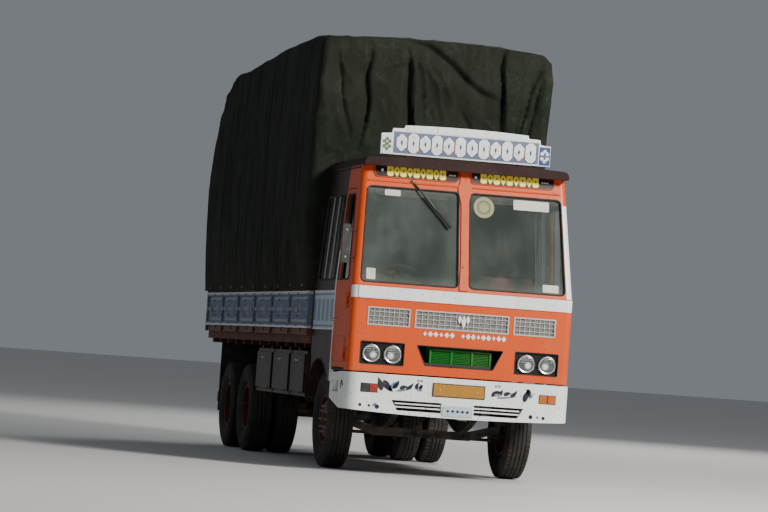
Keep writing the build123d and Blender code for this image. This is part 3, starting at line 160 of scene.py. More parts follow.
class Finish:
    """One material: its nodes, its coordinates in metres and its surface."""

    made = {}

    def __init__(self, name):
        self.material = bpy.data.materials.new(name)
        self.material.use_nodes = True
        self.tree = self.material.node_tree
        self.tree.nodes.clear()
        self.end = self.tree.nodes.new("ShaderNodeOutputMaterial")
        self.place = self.add("ShaderNodeTexCoord", out="Object")
        parts = self.add("ShaderNodeSeparateXYZ", None, {0: self.place}).socket.node
        self.x, self.y, self.z = (Value(self, socket) for socket in parts.outputs)

    def add(self, kind, settings=None, inputs=None, out=0):
        """A node of any kind: its settings first, then the values or links of its sockets."""
        node = self.tree.nodes.new(kind)
        for key, value in (settings or {}).items():
            setattr(node, key, value)
        for key, value in (inputs or {}).items():
            socket = node.inputs[key]
            if isinstance(value, Value):
                self.tree.links.new(value.socket, socket)
            elif socket.type == "RGBA" and len(value) == 3:
                socket.default_value = (*value, 1.0)
            else:
                socket.default_value = value
        return Value(self, node.outputs[out])

    def noise(self, scale, detail=4.0, rough=0.55, stretch=(1, 1, 1), shift=0.0):
        """Fractal noise from 0 to 1; stretch makes the grain longer along an axis."""
        moved = {"Vector": self.place, "Scale": stretch, "Location": (shift, shift, shift)}
        inputs = {"Vector": self.add("ShaderNodeMapping", None, moved), "Scale": scale, "Detail": detail,
                  "Roughness": rough}
        return self.add("ShaderNodeTexNoise", None, inputs)

    def cells(self, scale):
        """Distance to the nearest of many scattered points."""
        return self.add("ShaderNodeTexVoronoi", None, {"Vector": self.place, "Scale": scale})

    def mix(self, factor, first, second):
        """Colour between two colours."""
        return self.add("ShaderNodeMix", {"data_type": "RGBA"}, {0: factor, 6: first, 7: second}, out=2)

    def shader(self, inputs):
        return self.add("ShaderNodeBsdfPrincipled", None, inputs)

    def show(self, shader):
        """Puts a shader on the material and hands the material over."""
        self.tree.links.new(shader.socket, self.end.inputs["Surface"])
        return self.material

    def surface(self, colour, rough, height, depth, metallic=0.0, **fixed):
        """A solid surface: colour, roughness and bump may vary; everything else is one number."""
        bump = self.add("ShaderNodeBump", None, {"Height": height, "Distance": depth, "Strength": 1.0})
        inputs = {"Base Color": colour, "Roughness": rough, "Metallic": metallic, "Normal": bump}
        inputs.update({key.replace("_", " "): value for key, value in fixed.items()})
        return self.show(self.shader(inputs))

    def glass(self, film, clear, haze):
        """Clear glass under a film of dust."""
        shaders = {1: self.shader(clear), 2: self.shader(haze)}
        return self.show(self.add("ShaderNodeMixShader", None, {0: film, **shaders}))


def finish(maker):
    """Makes each finish once and hands the same material back."""
    def once(*args):
        key = (maker.__name__, *args)
        if key not in Finish.made:
            Finish.made[key] = maker(*args)
        return Finish.made[key]
    return once


def paint(name):
    """One of the truck's paints as plain numbers."""
    return tuple(getattr(bpy.context.scene.truck_paint, name))


def sizes():
    return bpy.context.scene.truck_sizes


# Finishes

# Colours that age and shade leave
FADED = (0.78, 0.6, 0.48)
DRIPS = (0.05, 0.035, 0.03)
CHIPPED = (0.12, 0.06, 0.04)
# Painted shade: black for the insides of the front's recesses
RECESS_SHADE_BLACK = (0.004, 0.004, 0.005)
DOOR_INSIDE = (0.035, 0.022, 0.018)
# How far the painted shade, black, reaches past an opening of the front
RECESS_MARGIN = 0.005
# Painted white: the belt under the windscreen; on the post at its left side a white strip, partly paint and
# partly a painted highlight of the lit side
BELT_STRIPE_Z = (1.815, 1.94)
POST_TOP_Z = 2.93
POST_X = 1.102
POST_LEAN = 0.055
# Painted band: its lines, blocks and panels
BAND_LINES_Z = ((1.5, 1.515), (1.835, 1.85))
BAND_BLOCKS_Z = (1.56, 1.79)
BAND_BLOCK_PITCH = 0.24
PANEL_PITCH = 1.13
PANEL_OUTER_Z = (1.535, 1.815)
PANEL_INNER_Z = (1.565, 1.785)
DIAMOND_Z = 1.675
# Stations where the cab's orange ends
ORANGE_END = (1.02, 1.03)
THREADS = 1256.0

# Plastics, lenses and small painted things: colour and roughness
PLASTICS = {
    "mirror_shell": ((0.02, 0.02, 0.021), 0.35),
    "wheel_rim": ((0.022, 0.021, 0.02), 0.28),
    "wiper_black": ((0.012, 0.012, 0.013), 0.3),
    "sticker_cream": ((0.3, 0.29, 0.15), 0.55),
    "sticker_white": ((0.62, 0.6, 0.56), 0.55),
    "sticker_green": ((0.14, 0.17, 0.09), 0.55),
    "plate_frame": ((0.015, 0.014, 0.014), 0.35),
    "reflector_red": ((0.26, 0.02, 0.012), 0.18),
    "reflector_amber": ((0.42, 0.105, 0.015), 0.18),
    "lens_clear": ((0.7, 0.7, 0.66), 0.15),
    "enamel_deep_blue": ((0.015, 0.045, 0.2), 0.3),
    "enamel_red": ((0.42, 0.03, 0.04), 0.3),
    "enamel_green": ((0.06, 0.2, 0.09), 0.3),
    "dial_black": ((0.012, 0.012, 0.012), 0.35),
    "dial_pale": ((0.55, 0.55, 0.5), 0.35),
    "lining": ((0.36, 0.31, 0.23), 0.7),
}
PLAIN_STEEL = (0.32, 1.0)
# Metals: colour, then roughness and how metallic they are where these differ from plain steel
METALS = {
    "grille_metal": ((0.44, 0.44, 0.44), 0.42, 0.5),
    "mesh_wire": ((0.33, 0.325, 0.32), 0.45, 0.5),
    "wiper_steel": ((0.3, 0.3, 0.3),),
    "lamp_chrome": ((0.72, 0.73, 0.74), 0.12),
    "screw_zinc": ((0.6, 0.6, 0.58),),
    "bolt_zinc": ((0.45, 0.44, 0.42),),
    "handle_chrome": ((0.6, 0.6, 0.6), 0.18),
    "step_steel": ((0.22, 0.21, 0.2), 0.5),
    "mirror_silver": ((0.86, 0.87, 0.88), 0.03),
    "guard_bar": ((0.4, 0.4, 0.4),),
    "lever_steel": ((0.35, 0.35, 0.34),),
    "nut_steel": ((0.38, 0.35, 0.32), 0.35),
    "eyelet_brass": ((0.42, 0.32, 0.14),),
}


def grime(f, low, high):
    """Road dust: thick low down, thin and patchy higher up."""
    patch = f.noise(2.2, 6.0, 0.65)
    fine = f.noise(38.0, 3.0, 0.6)
    return (f.z.fall(low, high) * 0.42 + 0.1) * patch.rise(0.4, 0.8) * (fine * 0.7 + 0.5)


def enamel_surface(f, colour, wear=0.62, gloss=0.34, dust_z=(0.9, 2.2), recess_shade=None):
    """Old enamel: faded patches, chips to rust and primer, drips and dust; painted shade, black, inside
    recesses.
    """
    fade = f.noise(1.6, 5.0, 0.6, shift=3.0)
    streak = f.noise(7.0, 4.0, 0.6, stretch=(3.0, 3.0, 0.35), shift=1.0)
    chips = f.noise(26.0, 6.0, 0.72, shift=7.0).rise(wear, wear + 0.045)
    scratch = f.noise(60.0, 3.0, 0.6, stretch=(1.0, 1.0, 6.0)).rise(0.7, 0.74)
    base = f.mix(fade.rise(0.35, 0.75) * 0.025, colour, FADED)
    base = f.mix(streak.rise(0.5, 0.8) * 0.18, base, DRIPS)
    base = f.mix(chips.largest(scratch * 0.5), base, CHIPPED)
    dust = grime(f, *dust_z)
    base = f.mix(dust * 0.5, base, paint("dust"))
    # Painted shade: black where a recess lies, over all else
    if recess_shade is not None:
        base = f.mix(recess_shade, base, RECESS_SHADE_BLACK)
    rough = gloss + dust * 0.35 + chips * 0.3 + fade * 0.1
    height = f.noise(9.0, 3.0, 0.5) * 0.5 + (1.0 - chips) * 0.25
    return f.surface(base, rough, height, 0.0025, Specular_IOR_Level=0.3, Coat_Weight=0.05,
                     Coat_Roughness=0.25)


def opened(value, limits):
    """1 between an opening's limits, margin included."""
    return value.between(limits[0] - RECESS_MARGIN, limits[1] + RECESS_MARGIN, 0.001)


def reached(value, reach):
    """1 up to an opening's outer edge, margin included."""
    return value.fall(reach + RECESS_MARGIN, reach + RECESS_MARGIN + 0.002)


def unraked(f):
    """Y of a place once the rake of the cab's front is taken off."""
    return f.y - (f.z - BELT_Z) * SCREEN_SLOPE


@finish
def orange_enamel():
    """The cab's orange; by place, the white belt, a white strip on the left corner post that is partly a
    painted highlight, and painted shade, black, inside the recesses.
    """
    f = Finish("orange_enamel")
    side = abs(f.x)
    belt = f.z.between(*BELT_STRIPE_Z) * f.y.fall(FACE_Y + 0.06, FACE_Y + 0.07)
    # Left corner post only: white paint and a painted highlight of its lit side
    post = (f.x + (f.z - PANE_BOTTOM_Z) * POST_LEAN).rise(POST_X, POST_X + 0.004)
    post = post * f.z.between(BELT_Z, POST_TOP_Z) * unraked(f).fall(SCREEN_FOOT_Y + 0.05, SCREEN_FOOT_Y + 0.06)
    colour = f.mix(belt.largest(post), paint("orange"), paint("white"))
    # Painted shade: black on the walls of the lamp recesses, the intake and the grille openings, behind the
    # front face
    lamps = opened(side, LAMP_RECESS_X) * opened(f.z, LAMP_RECESS_Z)
    intake = reached(side, INTAKE_HALF[1]) * opened(f.z, INTAKE_Z)
    grille = reached(side, GRILLE_REACH) * opened(f.z, GRILLE_Z)
    recess_shade = lamps.largest(intake).largest(grille) * f.y.rise(FACE_Y + 0.002, FACE_Y + 0.004)
    return enamel_surface(f, colour, recess_shade=recess_shade)


@finish
def roof_enamel():
    """Maroon roof, its face over the windscreen orange like the cab below."""
    f = Finish("roof_enamel")
    face = unraked(f).between(SCREEN_FOOT_Y - 0.02, SCREEN_FOOT_Y + 0.02) * abs(f.x).fall(1.045, 1.05)
    colour = f.mix(face * f.z.fall(3.272, 3.274), paint("maroon"), paint("orange"))
    return enamel_surface(f, colour, gloss=0.7, dust_z=(0.0, 0.1))


@finish
def door_enamel():
    """Orange outside, dark brown inside."""
    f = Finish("door_enamel")
    lean = (CAB_HALF - CAB_TOP_HALF) / (CAB_TOP_Z - BELT_Z)
    outer = (abs(f.x) + (f.z - BELT_Z).largest(0.0) * lean).rise(CAB_HALF - 0.016, CAB_HALF - 0.012)
    return enamel_surface(f, f.mix(outer, DOOR_INSIDE, paint("orange")))


@finish
def side_enamel():
    """Cab sides: dark maroon behind the doors, with the painted band and its blue lines."""
    f = Finish("side_enamel")
    orange = f.y.fall(at(ORANGE_END[0]), at(ORANGE_END[1]))
    body = f.mix(orange, paint("maroon"), paint("orange"))
    lower, upper = (f.z.between(*limits) for limits in BAND_LINES_Z)
    blocks = f.y.wave(BAND_BLOCK_PITCH).rise(0.035, 0.045) * f.z.between(*BAND_BLOCKS_Z)
    band = f.mix(lower.largest(upper).largest(blocks * 0.7), paint("pale_blue"), paint("blue"))
    body = f.mix(f.z.between(BAND_LOW_Z, BAND_HIGH_Z), body, band)
    strip = f.z.fall(2.3, 2.31) * f.y.between(at(0.985), at(1.03)) * abs(f.x).rise(1.1, 1.11)
    return enamel_surface(f, f.mix(strip, body, paint("white")))


@finish
def enamel(name):
    """One of the named paints with age and dust."""
    return enamel_surface(Finish(f"{name}_enamel"), paint(name))


@finish
def band_enamel():
    """The load body's side: blue-grey band with faint panels and pale edges, brown boards over it."""
    f = Finish("band_enamel")
    cell = (f.y - at(2.225)).wave(PANEL_PITCH)
    panel = cell.rise(0.1, 0.105) * f.z.between(*PANEL_OUTER_Z, 0.003)
    inner = cell.rise(0.13, 0.135) * f.z.between(*PANEL_INNER_Z, 0.003)
    diamond = (abs(cell - PANEL_PITCH / 2) * 0.4 + abs(f.z - DIAMOND_Z)).fall(0.07, 0.074)
    edges = f.z.between(1.845, BAND_HIGH_Z, 0.002).largest(f.z.between(BAND_LOW_Z, 1.5, 0.002))
    colour = f.mix((panel - inner) * 0.3, paint("blue"), paint("white"))
    colour = f.mix(diamond * 0.3, colour, paint("pale_blue"))
    colour = f.mix(edges * 0.55, colour, paint("white"))
    boards = f.z.rise(BAND_HIGH_Z, BAND_HIGH_Z + 0.004).largest(f.z.fall(BAND_LOW_Z - 0.004, BAND_LOW_Z))
    return enamel_surface(f, f.mix(boards, colour, paint("timber")), 0.6, 0.42)


@finish
def wheel_enamel():
    """Wheels in dull red-brown paint, chipped and dusty."""
    return enamel_surface(Finish("wheel_enamel"), (0.11, 0.02, 0.012), 0.58, 0.48, (0.2, 1.2))


@finish
def chassis_paint():
    """Dull black under rust and dried mud."""
    f = Finish("chassis_paint")
    mud = f.noise(5.0, 6.0, 0.7)
    rust = f.noise(19.0, 5.0, 0.7, shift=4.0).rise(0.55, 0.68)
    colour = f.mix(rust * 0.7, (0.028, 0.024, 0.022), (0.12, 0.045, 0.02))
    colour = f.mix(mud.rise(0.45, 0.75) * 0.5, colour, (0.15, 0.108, 0.075))
    return f.surface(colour, 0.62 + mud * 0.3, f.noise(45.0, 5.0, 0.7), 0.003)


@finish
def oily_iron():
    """Cast iron with patches of oil that hold the dust."""
    f = Finish("oily_iron")
    oil = f.noise(6.0, 5.0, 0.6)
    colour = f.mix(oil.rise(0.35, 0.7), (0.035, 0.032, 0.03), (0.15, 0.115, 0.085))
    return f.surface(colour, oil.fall(0.3, 0.8) * 0.25 + 0.45, f.noise(70.0, 5.0, 0.7), 0.002, 0.35)


@finish
def tyre_rubber():
    """Black rubber, browner where dust lies in patches."""
    f = Finish("tyre_rubber")
    dust = f.noise(4.0, 5.0, 0.65)
    fine = f.noise(60.0, 4.0, 0.65)
    colour = f.mix(dust.rise(0.38, 0.78) * 0.45, (0.013, 0.012, 0.012), (0.1, 0.078, 0.058))
    colour = f.mix(fine.rise(0.5, 0.8) * 0.3, colour, (0.05, 0.042, 0.036))
    return f.surface(colour, 0.78 + dust * 0.15, fine * 0.6 + f.noise(220.0, 2.0, 0.5) * 0.4, 0.0012)


@finish
def canvas():
    """Waterproof canvas: woven and creased, with painted highlights along its creases, and brown and dusty
    patches.
    """
    f = Finish("canvas")
    broad = f.noise(0.9, 6.0, 0.62)
    patch = f.noise(4.5, 5.0, 0.65, shift=2.0)
    streak = f.noise(5.0, 5.0, 0.6, stretch=(1.0, 1.0, 0.16), shift=5.0)
    weave = abs((f.y * THREADS).sine()) * abs(((f.x + f.z) * THREADS).sine())
    colour = f.mix(broad.rise(0.3, 0.75), paint("canvas_dark"), paint("canvas"))
    crumple = abs(f.noise(3.0, 3.0, 0.5, stretch=(1.0, 1.0, 0.6), shift=8.0) - 0.5)
    small = abs(f.noise(8.0, 2.0, 0.5, shift=6.0) - 0.5)
    brown = f.noise(1.3, 3.0, 0.5, shift=12.0).rise(0.42, 0.62)
    colour = f.mix(brown * 0.55, colour, (0.015, 0.014, 0.01))
    colour = f.mix(patch.rise(0.45, 0.75) * 0.3, colour, (0.024, 0.032, 0.02))
    colour = f.mix(streak.rise(0.55, 0.8) * 0.25, colour, (0.036, 0.043, 0.029))
    # Painted highlight: pale lines along the creases
    crease_highlight = crumple.fall(0.002, 0.012).largest(small.fall(0.002, 0.02) * 0.7) * patch.rise(0.4, 0.6)
    colour = f.mix(crease_highlight * 0.3, colour, (0.055, 0.068, 0.048))
    low_dust = f.z.fall(1.95, 2.9) * f.noise(3.0, 5.0, 0.6).rise(0.35, 0.8)
    colour = f.mix(low_dust * 0.15, colour, paint("dust"))
    height = weave * 0.03 + crumple * 1.2 + small * 0.4 + f.noise(30.0, 4.0, 0.6) * 0.08
    return f.surface(colour, 0.86 - broad * 0.1, height, 0.035, Specular_IOR_Level=0.22)


@finish
def timber(name, grain_axis):
    """Painted or bare planks with grain along x or y."""
    f = Finish(f"{name}_planks_{grain_axis}")
    grain = f.noise(38.0, 5.0, 0.65, stretch=(0.08, 1.0, 1.0) if grain_axis == "x" else (1.0, 0.08, 1.0))
    broad = f.noise(3.0, 4.0, 0.6)
    colour = f.mix(grain.rise(0.35, 0.7) * 0.55, paint(name), (0.07, 0.045, 0.03))
    colour = f.mix(broad.rise(0.4, 0.8) * 0.45, colour, paint("dust"))
    return f.surface(colour, 0.72 + grain * 0.15, grain, 0.003)


def dusty(name, base, tint, scale, detail, rough, grain, metallic=0.0, **fixed):
    """A smooth thing with dust or finger marks in patches; rough holds its roughness and the dust's share."""
    f = Finish(name)
    dust = f.noise(scale, detail, 0.6)
    colour = f.mix(dust.rise(0.45, 0.8) * rough[1], base, tint)
    return f.surface(colour, dust * 0.3 + rough[0], f.noise(*grain, 0.5), 0.0006, metallic, **fixed)


@finish
def steel(name):
    """One of the metals, plated, brushed or bare."""
    base, rough, metallic = (*METALS[name], *PLAIN_STEEL[len(METALS[name]) - 1:])
    return dusty(name, base, (0.2, 0.17, 0.14), 22.0, 4.0, (rough, 0.35), (90.0, 3.0), metallic)


@finish
def plastic(name):
    """One of the plastics."""
    base, rough = PLASTICS[name]
    return dusty(name, base, (0.2, 0.165, 0.125), 12.0, 5.0, (rough, 0.25), (140.0, 2.0), Coat_Weight=0.15)


@finish
def black_rubber():
    """Black rubber of seals and flaps, dusty."""
    f = Finish("black_rubber")
    dust = f.noise(9.0, 5.0, 0.6)
    colour = f.mix(dust.rise(0.4, 0.8) * 0.5, (0.018, 0.017, 0.017), (0.14, 0.11, 0.085))
    return f.surface(colour, 0.7 + dust * 0.2, f.noise(120.0, 4.0, 0.6), 0.001)


@finish
def window_glass():
    """Green-tinted glass under an uneven film of dust, thicker at its lower and upper edges."""
    f = Finish("window_glass")
    dust = f.noise(3.5, 6.0, 0.7).rise(0.42, 0.85)
    rim = f.z.fall(PANE_BOTTOM_Z, PANE_BOTTOM_Z + 0.13).largest(f.z.rise(PANE_TOP_Z - 0.1, PANE_TOP_Z))
    cloud = f.noise(1.1, 3.0, 0.55, stretch=(1.6, 1.0, 0.5), shift=2.0).rise(0.35, 0.7)
    clear = {"Base Color": (0.035, 0.05, 0.044), "Roughness": 0.04, "IOR": 1.48, "Alpha": 0.34,
             "Specular IOR Level": 0.6}
    haze = {"Base Color": (0.25, 0.29, 0.26), "Roughness": 0.6}
    return f.glass(dust * 0.1 + rim * 0.1 + cloud * 0.1 + 0.03, clear, haze)


@finish
def vent_glass():
    """Small side pane, pale: a thick pale film covers most of it."""
    f = Finish("vent_glass")
    clear = {"Base Color": (0.75, 0.82, 0.78), "Roughness": 0.05, "Alpha": 0.25}
    haze = {"Base Color": (0.5, 0.5, 0.43), "Roughness": 0.7}
    return f.glass(f.noise(6.0, 5.0, 0.65).rise(0.25, 0.8) * 0.3 + 0.6, clear, haze)


@finish
def lamp_glass():
    """Fluted lens over a bowl, dark, with painted highlights: a bright spot low on one side and a bright ring
    at its rim.
    """
    f = Finish("lamp_glass")
    middle = (LAMP_X[0] + LAMP_X[1]) / 2
    across = abs(abs(f.x) - middle) - (LAMP_X[1] - LAMP_X[0]) / 2
    upward = f.z - LAMP_Z
    radius = (across * across + upward * upward) ** 0.5
    flutes = abs((f.x * 420.0).sine())
    rows = abs((f.z * 150.0).sine()) ** 6.0
    # Painted highlights: a spot low and to one side, and a ring at the rim
    highlight_spot = ((across + 0.02) * (across + 0.02) + (upward + 0.016) * (upward + 0.016)) ** 0.5
    bright = highlight_spot.fall(0.012, 0.046).largest(radius.rise(0.076, 0.088) * 0.7)
    colour = f.mix(flutes * 0.3 + rows * 0.2, (0.03, 0.038, 0.038), (0.16, 0.18, 0.175))
    colour = f.mix(bright, colour, (0.8, 0.82, 0.8))
    dust = f.noise(14.0, 5.0, 0.6)
    colour = f.mix(dust.rise(0.4, 0.8) * 0.25, colour, (0.2, 0.18, 0.15))
    return f.surface(colour, 0.12 + dust * 0.2, flutes + rows, 0.001, 0.2, Coat_Weight=1.0,
                     Coat_Roughness=0.05)


@finish
def seat_cover():
    """Worn red leathercloth."""
    f = Finish("seat_cover")
    fade = f.noise(5.0, 5.0, 0.6)
    colour = f.mix(fade.rise(0.35, 0.75), (0.12, 0.028, 0.024), (0.26, 0.075, 0.055))
    return f.surface(colour, fade * 0.2 + 0.42, f.cells(160.0), 0.0008, Sheen_Weight=0.1)


@finish
def quilted_cover():
    """Padded cover over the engine, stitched in diamonds."""
    f = Finish("quilted_cover")
    quilt = (f.x + f.y).wave(0.11).smallest((f.x - f.y + f.z).wave(0.11)).rise(0.0, 0.02)
    fade = f.noise(4.0, 5.0, 0.6)
    colour = f.mix(fade.rise(0.3, 0.8) * 0.6, (0.085, 0.07, 0.06), (0.2, 0.17, 0.14))
    return f.surface(colour, fade * 0.2 + 0.55, quilt, 0.012)


# Making shapes

# The corners of a block, by the end of each axis where they lie, and its plain faces
CORNERS = [(i, j, k) for i in (0, 1) for j in (0, 1) for k in (0, 1)]
BLOCK_FACES = ((0, 1, 3, 2), (4, 6, 7, 5), (0, 4, 5, 1), (2, 3, 7, 6), (0, 2, 6, 4), (1, 5, 7, 3))


def turns(steps):
    """Angles of evenly spaced places round a circle."""
    return [tau * k / steps for k in range(steps)]


class Piece:
    """Forms gathered into one mesh in the frame's own place; each form names its finish."""

    def __init__(self, name):
        self.name = name
        self.points = []
        self.faces = []
        self.face_finish = []
        self.finishes = []

    def _index(self, material):
        if material not in self.finishes:
            self.finishes.append(material)
        return self.finishes.index(material)

    def form(self, points, faces, material):
        """Any points and faces."""
        start = len(self.points)
        index = self._index(material)
        self.points += [tuple(point) for point in points]
        self.faces += [tuple(start + corner for corner in face) for face in faces]
        self.face_finish += [index] * len(faces)

    def box(self, low, high, material, bevel=0.0):
        """A block, its edges cut by a small bevel."""
        cut = min(bevel, min(high[k] - low[k] for k in range(3)) * 0.45)
        if cut <= 0:
            corners = [[(low, high)[end][k] for k, end in enumerate(ends)] for ends in CORNERS]
            self.form(corners, BLOCK_FACES, material)
            return
        points, names = [], {}
        for ends in CORNERS:
            for axis in range(3):
                names[(*ends, axis)] = len(points)
                points.append([(low, high)[end][k] + (0.0 if k == axis else (cut, -cut)[end])
                               for k, end in enumerate(ends)])
        faces = []
        for axis in range(3):
            u, v = [k for k in range(3) if k != axis]
            for end in (0, 1):
                ring = []
                for du, dv in ((0, 0), (1, 0), (1, 1), (0, 1)):
                    key = [0, 0, 0]
                    key[axis], key[u], key[v] = end, du, dv
                    ring.append(names[(*key, axis)])
                faces.append(ring)
            for end_u, end_v in ((0, 0), (0, 1), (1, 0), (1, 1)):
                near = [0, 0, 0]
                near[u], near[v] = end_u, end_v
                far = list(near)
                far[axis] = 1
                faces.append([names[(*near, u)], names[(*far, u)], names[(*far, v)], names[(*near, v)]])
        faces += [[names[(*ends, axis)] for axis in range(3)] for ends in CORNERS]
        self.form(points, faces, material)

    def block(self, x, y, z, material, bevel=0.0):
        """A box given by its limits along each axis, in either order."""
        low, high = zip(*(sorted(limits) for limits in (x, y, z)))
        self.box(low, high, material, bevel)

    def plate(self, outline, y, push, material):
        """An (x, z) outline that faces along the truck, thickened by push."""
        self.slab([(x, y, z) for x, z in outline], (0, push, 0), material)

    def grid(self, rows, material, wrap=False, caps=False):
        """Quads over rows of points; wrap closes each row, caps close the first and last."""
        width = len(rows[0])
        points = [point for row in rows for point in row]
        faces = []
        for r in range(len(rows) - 1):
            for c in range(width if wrap else width - 1):
                d = (c + 1) % width
                faces.append((r * width + c, r * width + d, (r + 1) * width + d, (r + 1) * width + c))
        if caps:
            faces.append(tuple(reversed(range(width))))
            faces.append(tuple((len(rows) - 1) * width + c for c in range(width)))
        self.form(points, faces, material)

    def lathe(self, profile, centre, axis, material, steps=32):
        """A turned form about an axis: the profile is (distance along the axis, radius)."""
        axis = Vector(axis).normalized()
        across = axis.orthogonal().normalized()
        up = axis.cross(across)
        centre = Vector(centre)
        rows = []
        for distance, radius in profile:
            rows.append([centre + axis * distance + (across * cos(a) + up * sin(a)) * max(radius, 1e-5)
                         for a in turns(steps)])
        self.grid(rows, material, wrap=True, caps=True)

    def tube(self, path, radius, material, sides=8, closed=False):
        """A round bar along a path of points."""
        path = [Vector(point) for point in path]
        count = len(path)
        rows = []
        across = None
        for k, point in enumerate(path):
            before = path[k - 1] if k or closed else path[k]
            after = path[(k + 1) % count] if k < count - 1 or closed else path[k]
            tangent = (after - before).normalized()
            if across is None:
                across = tangent.orthogonal().normalized()
            across = (across - tangent * across.dot(tangent)).normalized()
            up = tangent.cross(across)
            rows.append([point + (across * cos(a) + up * sin(a)) * radius
                         for a in turns(sides)])
        if closed:
            rows.append(rows[0])
        self.grid(rows, material, wrap=True, caps=not closed)

    def slab(self, outline, push, material):
        """A flat outline of points, thickened along a vector."""
        count = len(outline)
        push = Vector(push)
        points = [Vector(point) for point in outline] + [Vector(point) + push for point in outline]
        faces = [tuple(reversed(range(count))), tuple(range(count, 2 * count))]
        faces += [(k, (k + 1) % count, count + (k + 1) % count, count + k) for k in range(count)]
        self.form(points, faces, material)

    def done(self, body, replaced=(), angle=35.0):
        """The object: mesh, finishes, smooth shading with sharp edges kept, riding on its body."""
        mesh = bpy.data.meshes.new(self.name)
        mesh.from_pydata(self.points, [], self.faces)
        shell = bmesh.new()
        shell.from_mesh(mesh)
        bmesh.ops.recalc_face_normals(shell, faces=shell.faces)
        shell.to_mesh(mesh)
        shell.free()
        for material in self.finishes:
            mesh.materials.append(material)
        mesh.polygons.foreach_set("material_index", self.face_finish)
        mesh.polygons.foreach_set("use_smooth", [True] * len(mesh.polygons))
        mesh.set_sharp_from_angle(angle=radians(angle))
        mesh.validate()
        thing = bpy.data.objects.new(self.name, mesh)
        bpy.context.scene.collection.objects.link(thing)
        if body is None:
            return thing
        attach(thing, body)
        if replaced:
            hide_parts(*replaced)
        return thing


def dress(material, *names):
    """Gives CAD nodes a finish."""
    for name in names:
        mesh = nodes[name].data
        mesh.materials.clear()
        mesh.materials.append(material)
        mesh.polygons.foreach_set("material_index", [0] * len(mesh.polygons))


def arc(centre, radius, start, end, steps):
    """Points of an arc in the plane of two numbers."""
    angles = [radians(start + (end - start) * k / steps) for k in range(steps + 1)]
    return [(centre[0] + radius * cos(a), centre[1] + radius * sin(a)) for a in angles]


def rounded(corners, radius, steps=5):
    """An outline with its corners rounded."""
    result = []
    count = len(corners)
    for k in range(count):
        here = Vector(corners[k])
        before = (Vector(corners[k - 1]) - here).normalized()
        after = (Vector(corners[(k + 1) % count]) - here).normalized()
        for s in range(steps + 1):
            t = s / steps
            a = here + before * radius * (1 - t)
            b = here + after * radius * t
            result.append(tuple(a.lerp(b, t)))
    return result


def rectangle(across, up):
    """The outline of a rectangle, from its two pairs of limits."""
    return [(across[0], up[0]), (across[1], up[0]), (across[1], up[1]), (across[0], up[1])]


def spread(first, last, steps):
    """Evenly spaced numbers, first and last included."""
    return [first + (last - first) * k / steps for k in range(steps + 1)]


def on_side(side, station, z, proud=0.0):
    """A point on the side of the cab, or proud of it; side is 1 on the left, -1 on the right."""
    return Vector((side * (cab_half(z) + proud), at(station), z))


# Sizes and colours that a user would change

def paint_property(name, description, default):
    return FloatVectorProperty(name=name, description=description, default=default, subtype="COLOR", size=3,
                               min=0.0, max=1.0)


def length_property(name, description, default):
    return FloatProperty(name=name, description=description, default=default, unit="LENGTH", min=0.0)


class TruckPaint(PropertyGroup):
    """Colours of the paints, timber and cloth."""
    orange: paint_property("Orange", "Main enamel of the cab", (0.62, 0.068, 0.002))
    maroon: paint_property("Maroon", "Enamel of the roof and the cab's rear half", (0.016, 0.002, 0.003))
    white: paint_property("White", "Enamel of the bumper, belt and sign board", (0.8, 0.83, 0.84))
    blue: paint_property("Blue", "Blue-grey of the painted band", (0.12, 0.165, 0.26))
    pale_blue: paint_property("Pale blue", "Second colour of the painted band", (0.45, 0.56, 0.66))
    scroll: paint_property("Scroll blue", "Dark blue of the bumper's scrolls", (0.005, 0.01, 0.028))
    yellow: paint_property("Yellow", "Ornament over the windscreen", (1.0, 0.84, 0.1))
    plate: paint_property("Plate", "Blank number plate", (0.38, 0.175, 0.02))
    green: paint_property("Green", "Radiator and its tanks", (0.01, 0.15, 0.018))
    timber: paint_property("Timber", "Painted boards of the body", (0.13, 0.04, 0.018))
    deck: paint_property("Deck", "Worn planks of the floor", (0.22, 0.15, 0.09))
    canvas: paint_property("Canvas", "Rubbed parts of the tarpaulin", (0.018, 0.026, 0.015))
    canvas_dark: paint_property("Dark canvas", "Deep parts of the tarpaulin", (0.007, 0.011, 0.006))
    dust: paint_property("Dust", "Road dust", (0.19, 0.14, 0.095))


class TruckSizes(PropertyGroup):
    """Sizes of the small pieces."""
    seal: length_property("Seal radius", "Half the width of the windscreen's rubber", 0.008)
    corner: length_property("Pane corner", "Radius of the windscreen's corners", 0.055)
    nut: length_property("Nut size", "Half the width of a wheel nut", 0.017)
    tread: length_property("Tread depth", "Depth of the tyre's grooves", 0.012)
    groove: length_property("Groove width", "Half the width of a groove", 0.006)
    fold: length_property("Fold depth", "How far the tarpaulin's folds stand out", 0.04)
    crease: length_property("Crease depth", "How deep the tarpaulin's creases go", 0.075)
    wire: length_property("Wire", "Thickness of the grille's wires", 0.003)
    bolt: length_property("Bolt head", "Radius of a bolt head", 0.011)
    tread_blocks: IntProperty(name="Tread blocks", description="Blocks round a tyre", default=60, min=12)


# Camera, fitted to the photograph
CAMERA_PLACE = Vector((-8.57, -41.55, 1.2))
CAMERA_YAW = 10.78
CAMERA_PITCH = 2.02
CAMERA_ROLL = 4.11
PHOTO_FOCAL = 1291.0
PHOTO_MIDDLE = (384.0, 256.0)
AIM_PIXEL = (405.0, 267.0)
ZOOM = 2.844
SENSOR = 36.0
PHOTO_WIDTH = 768.0


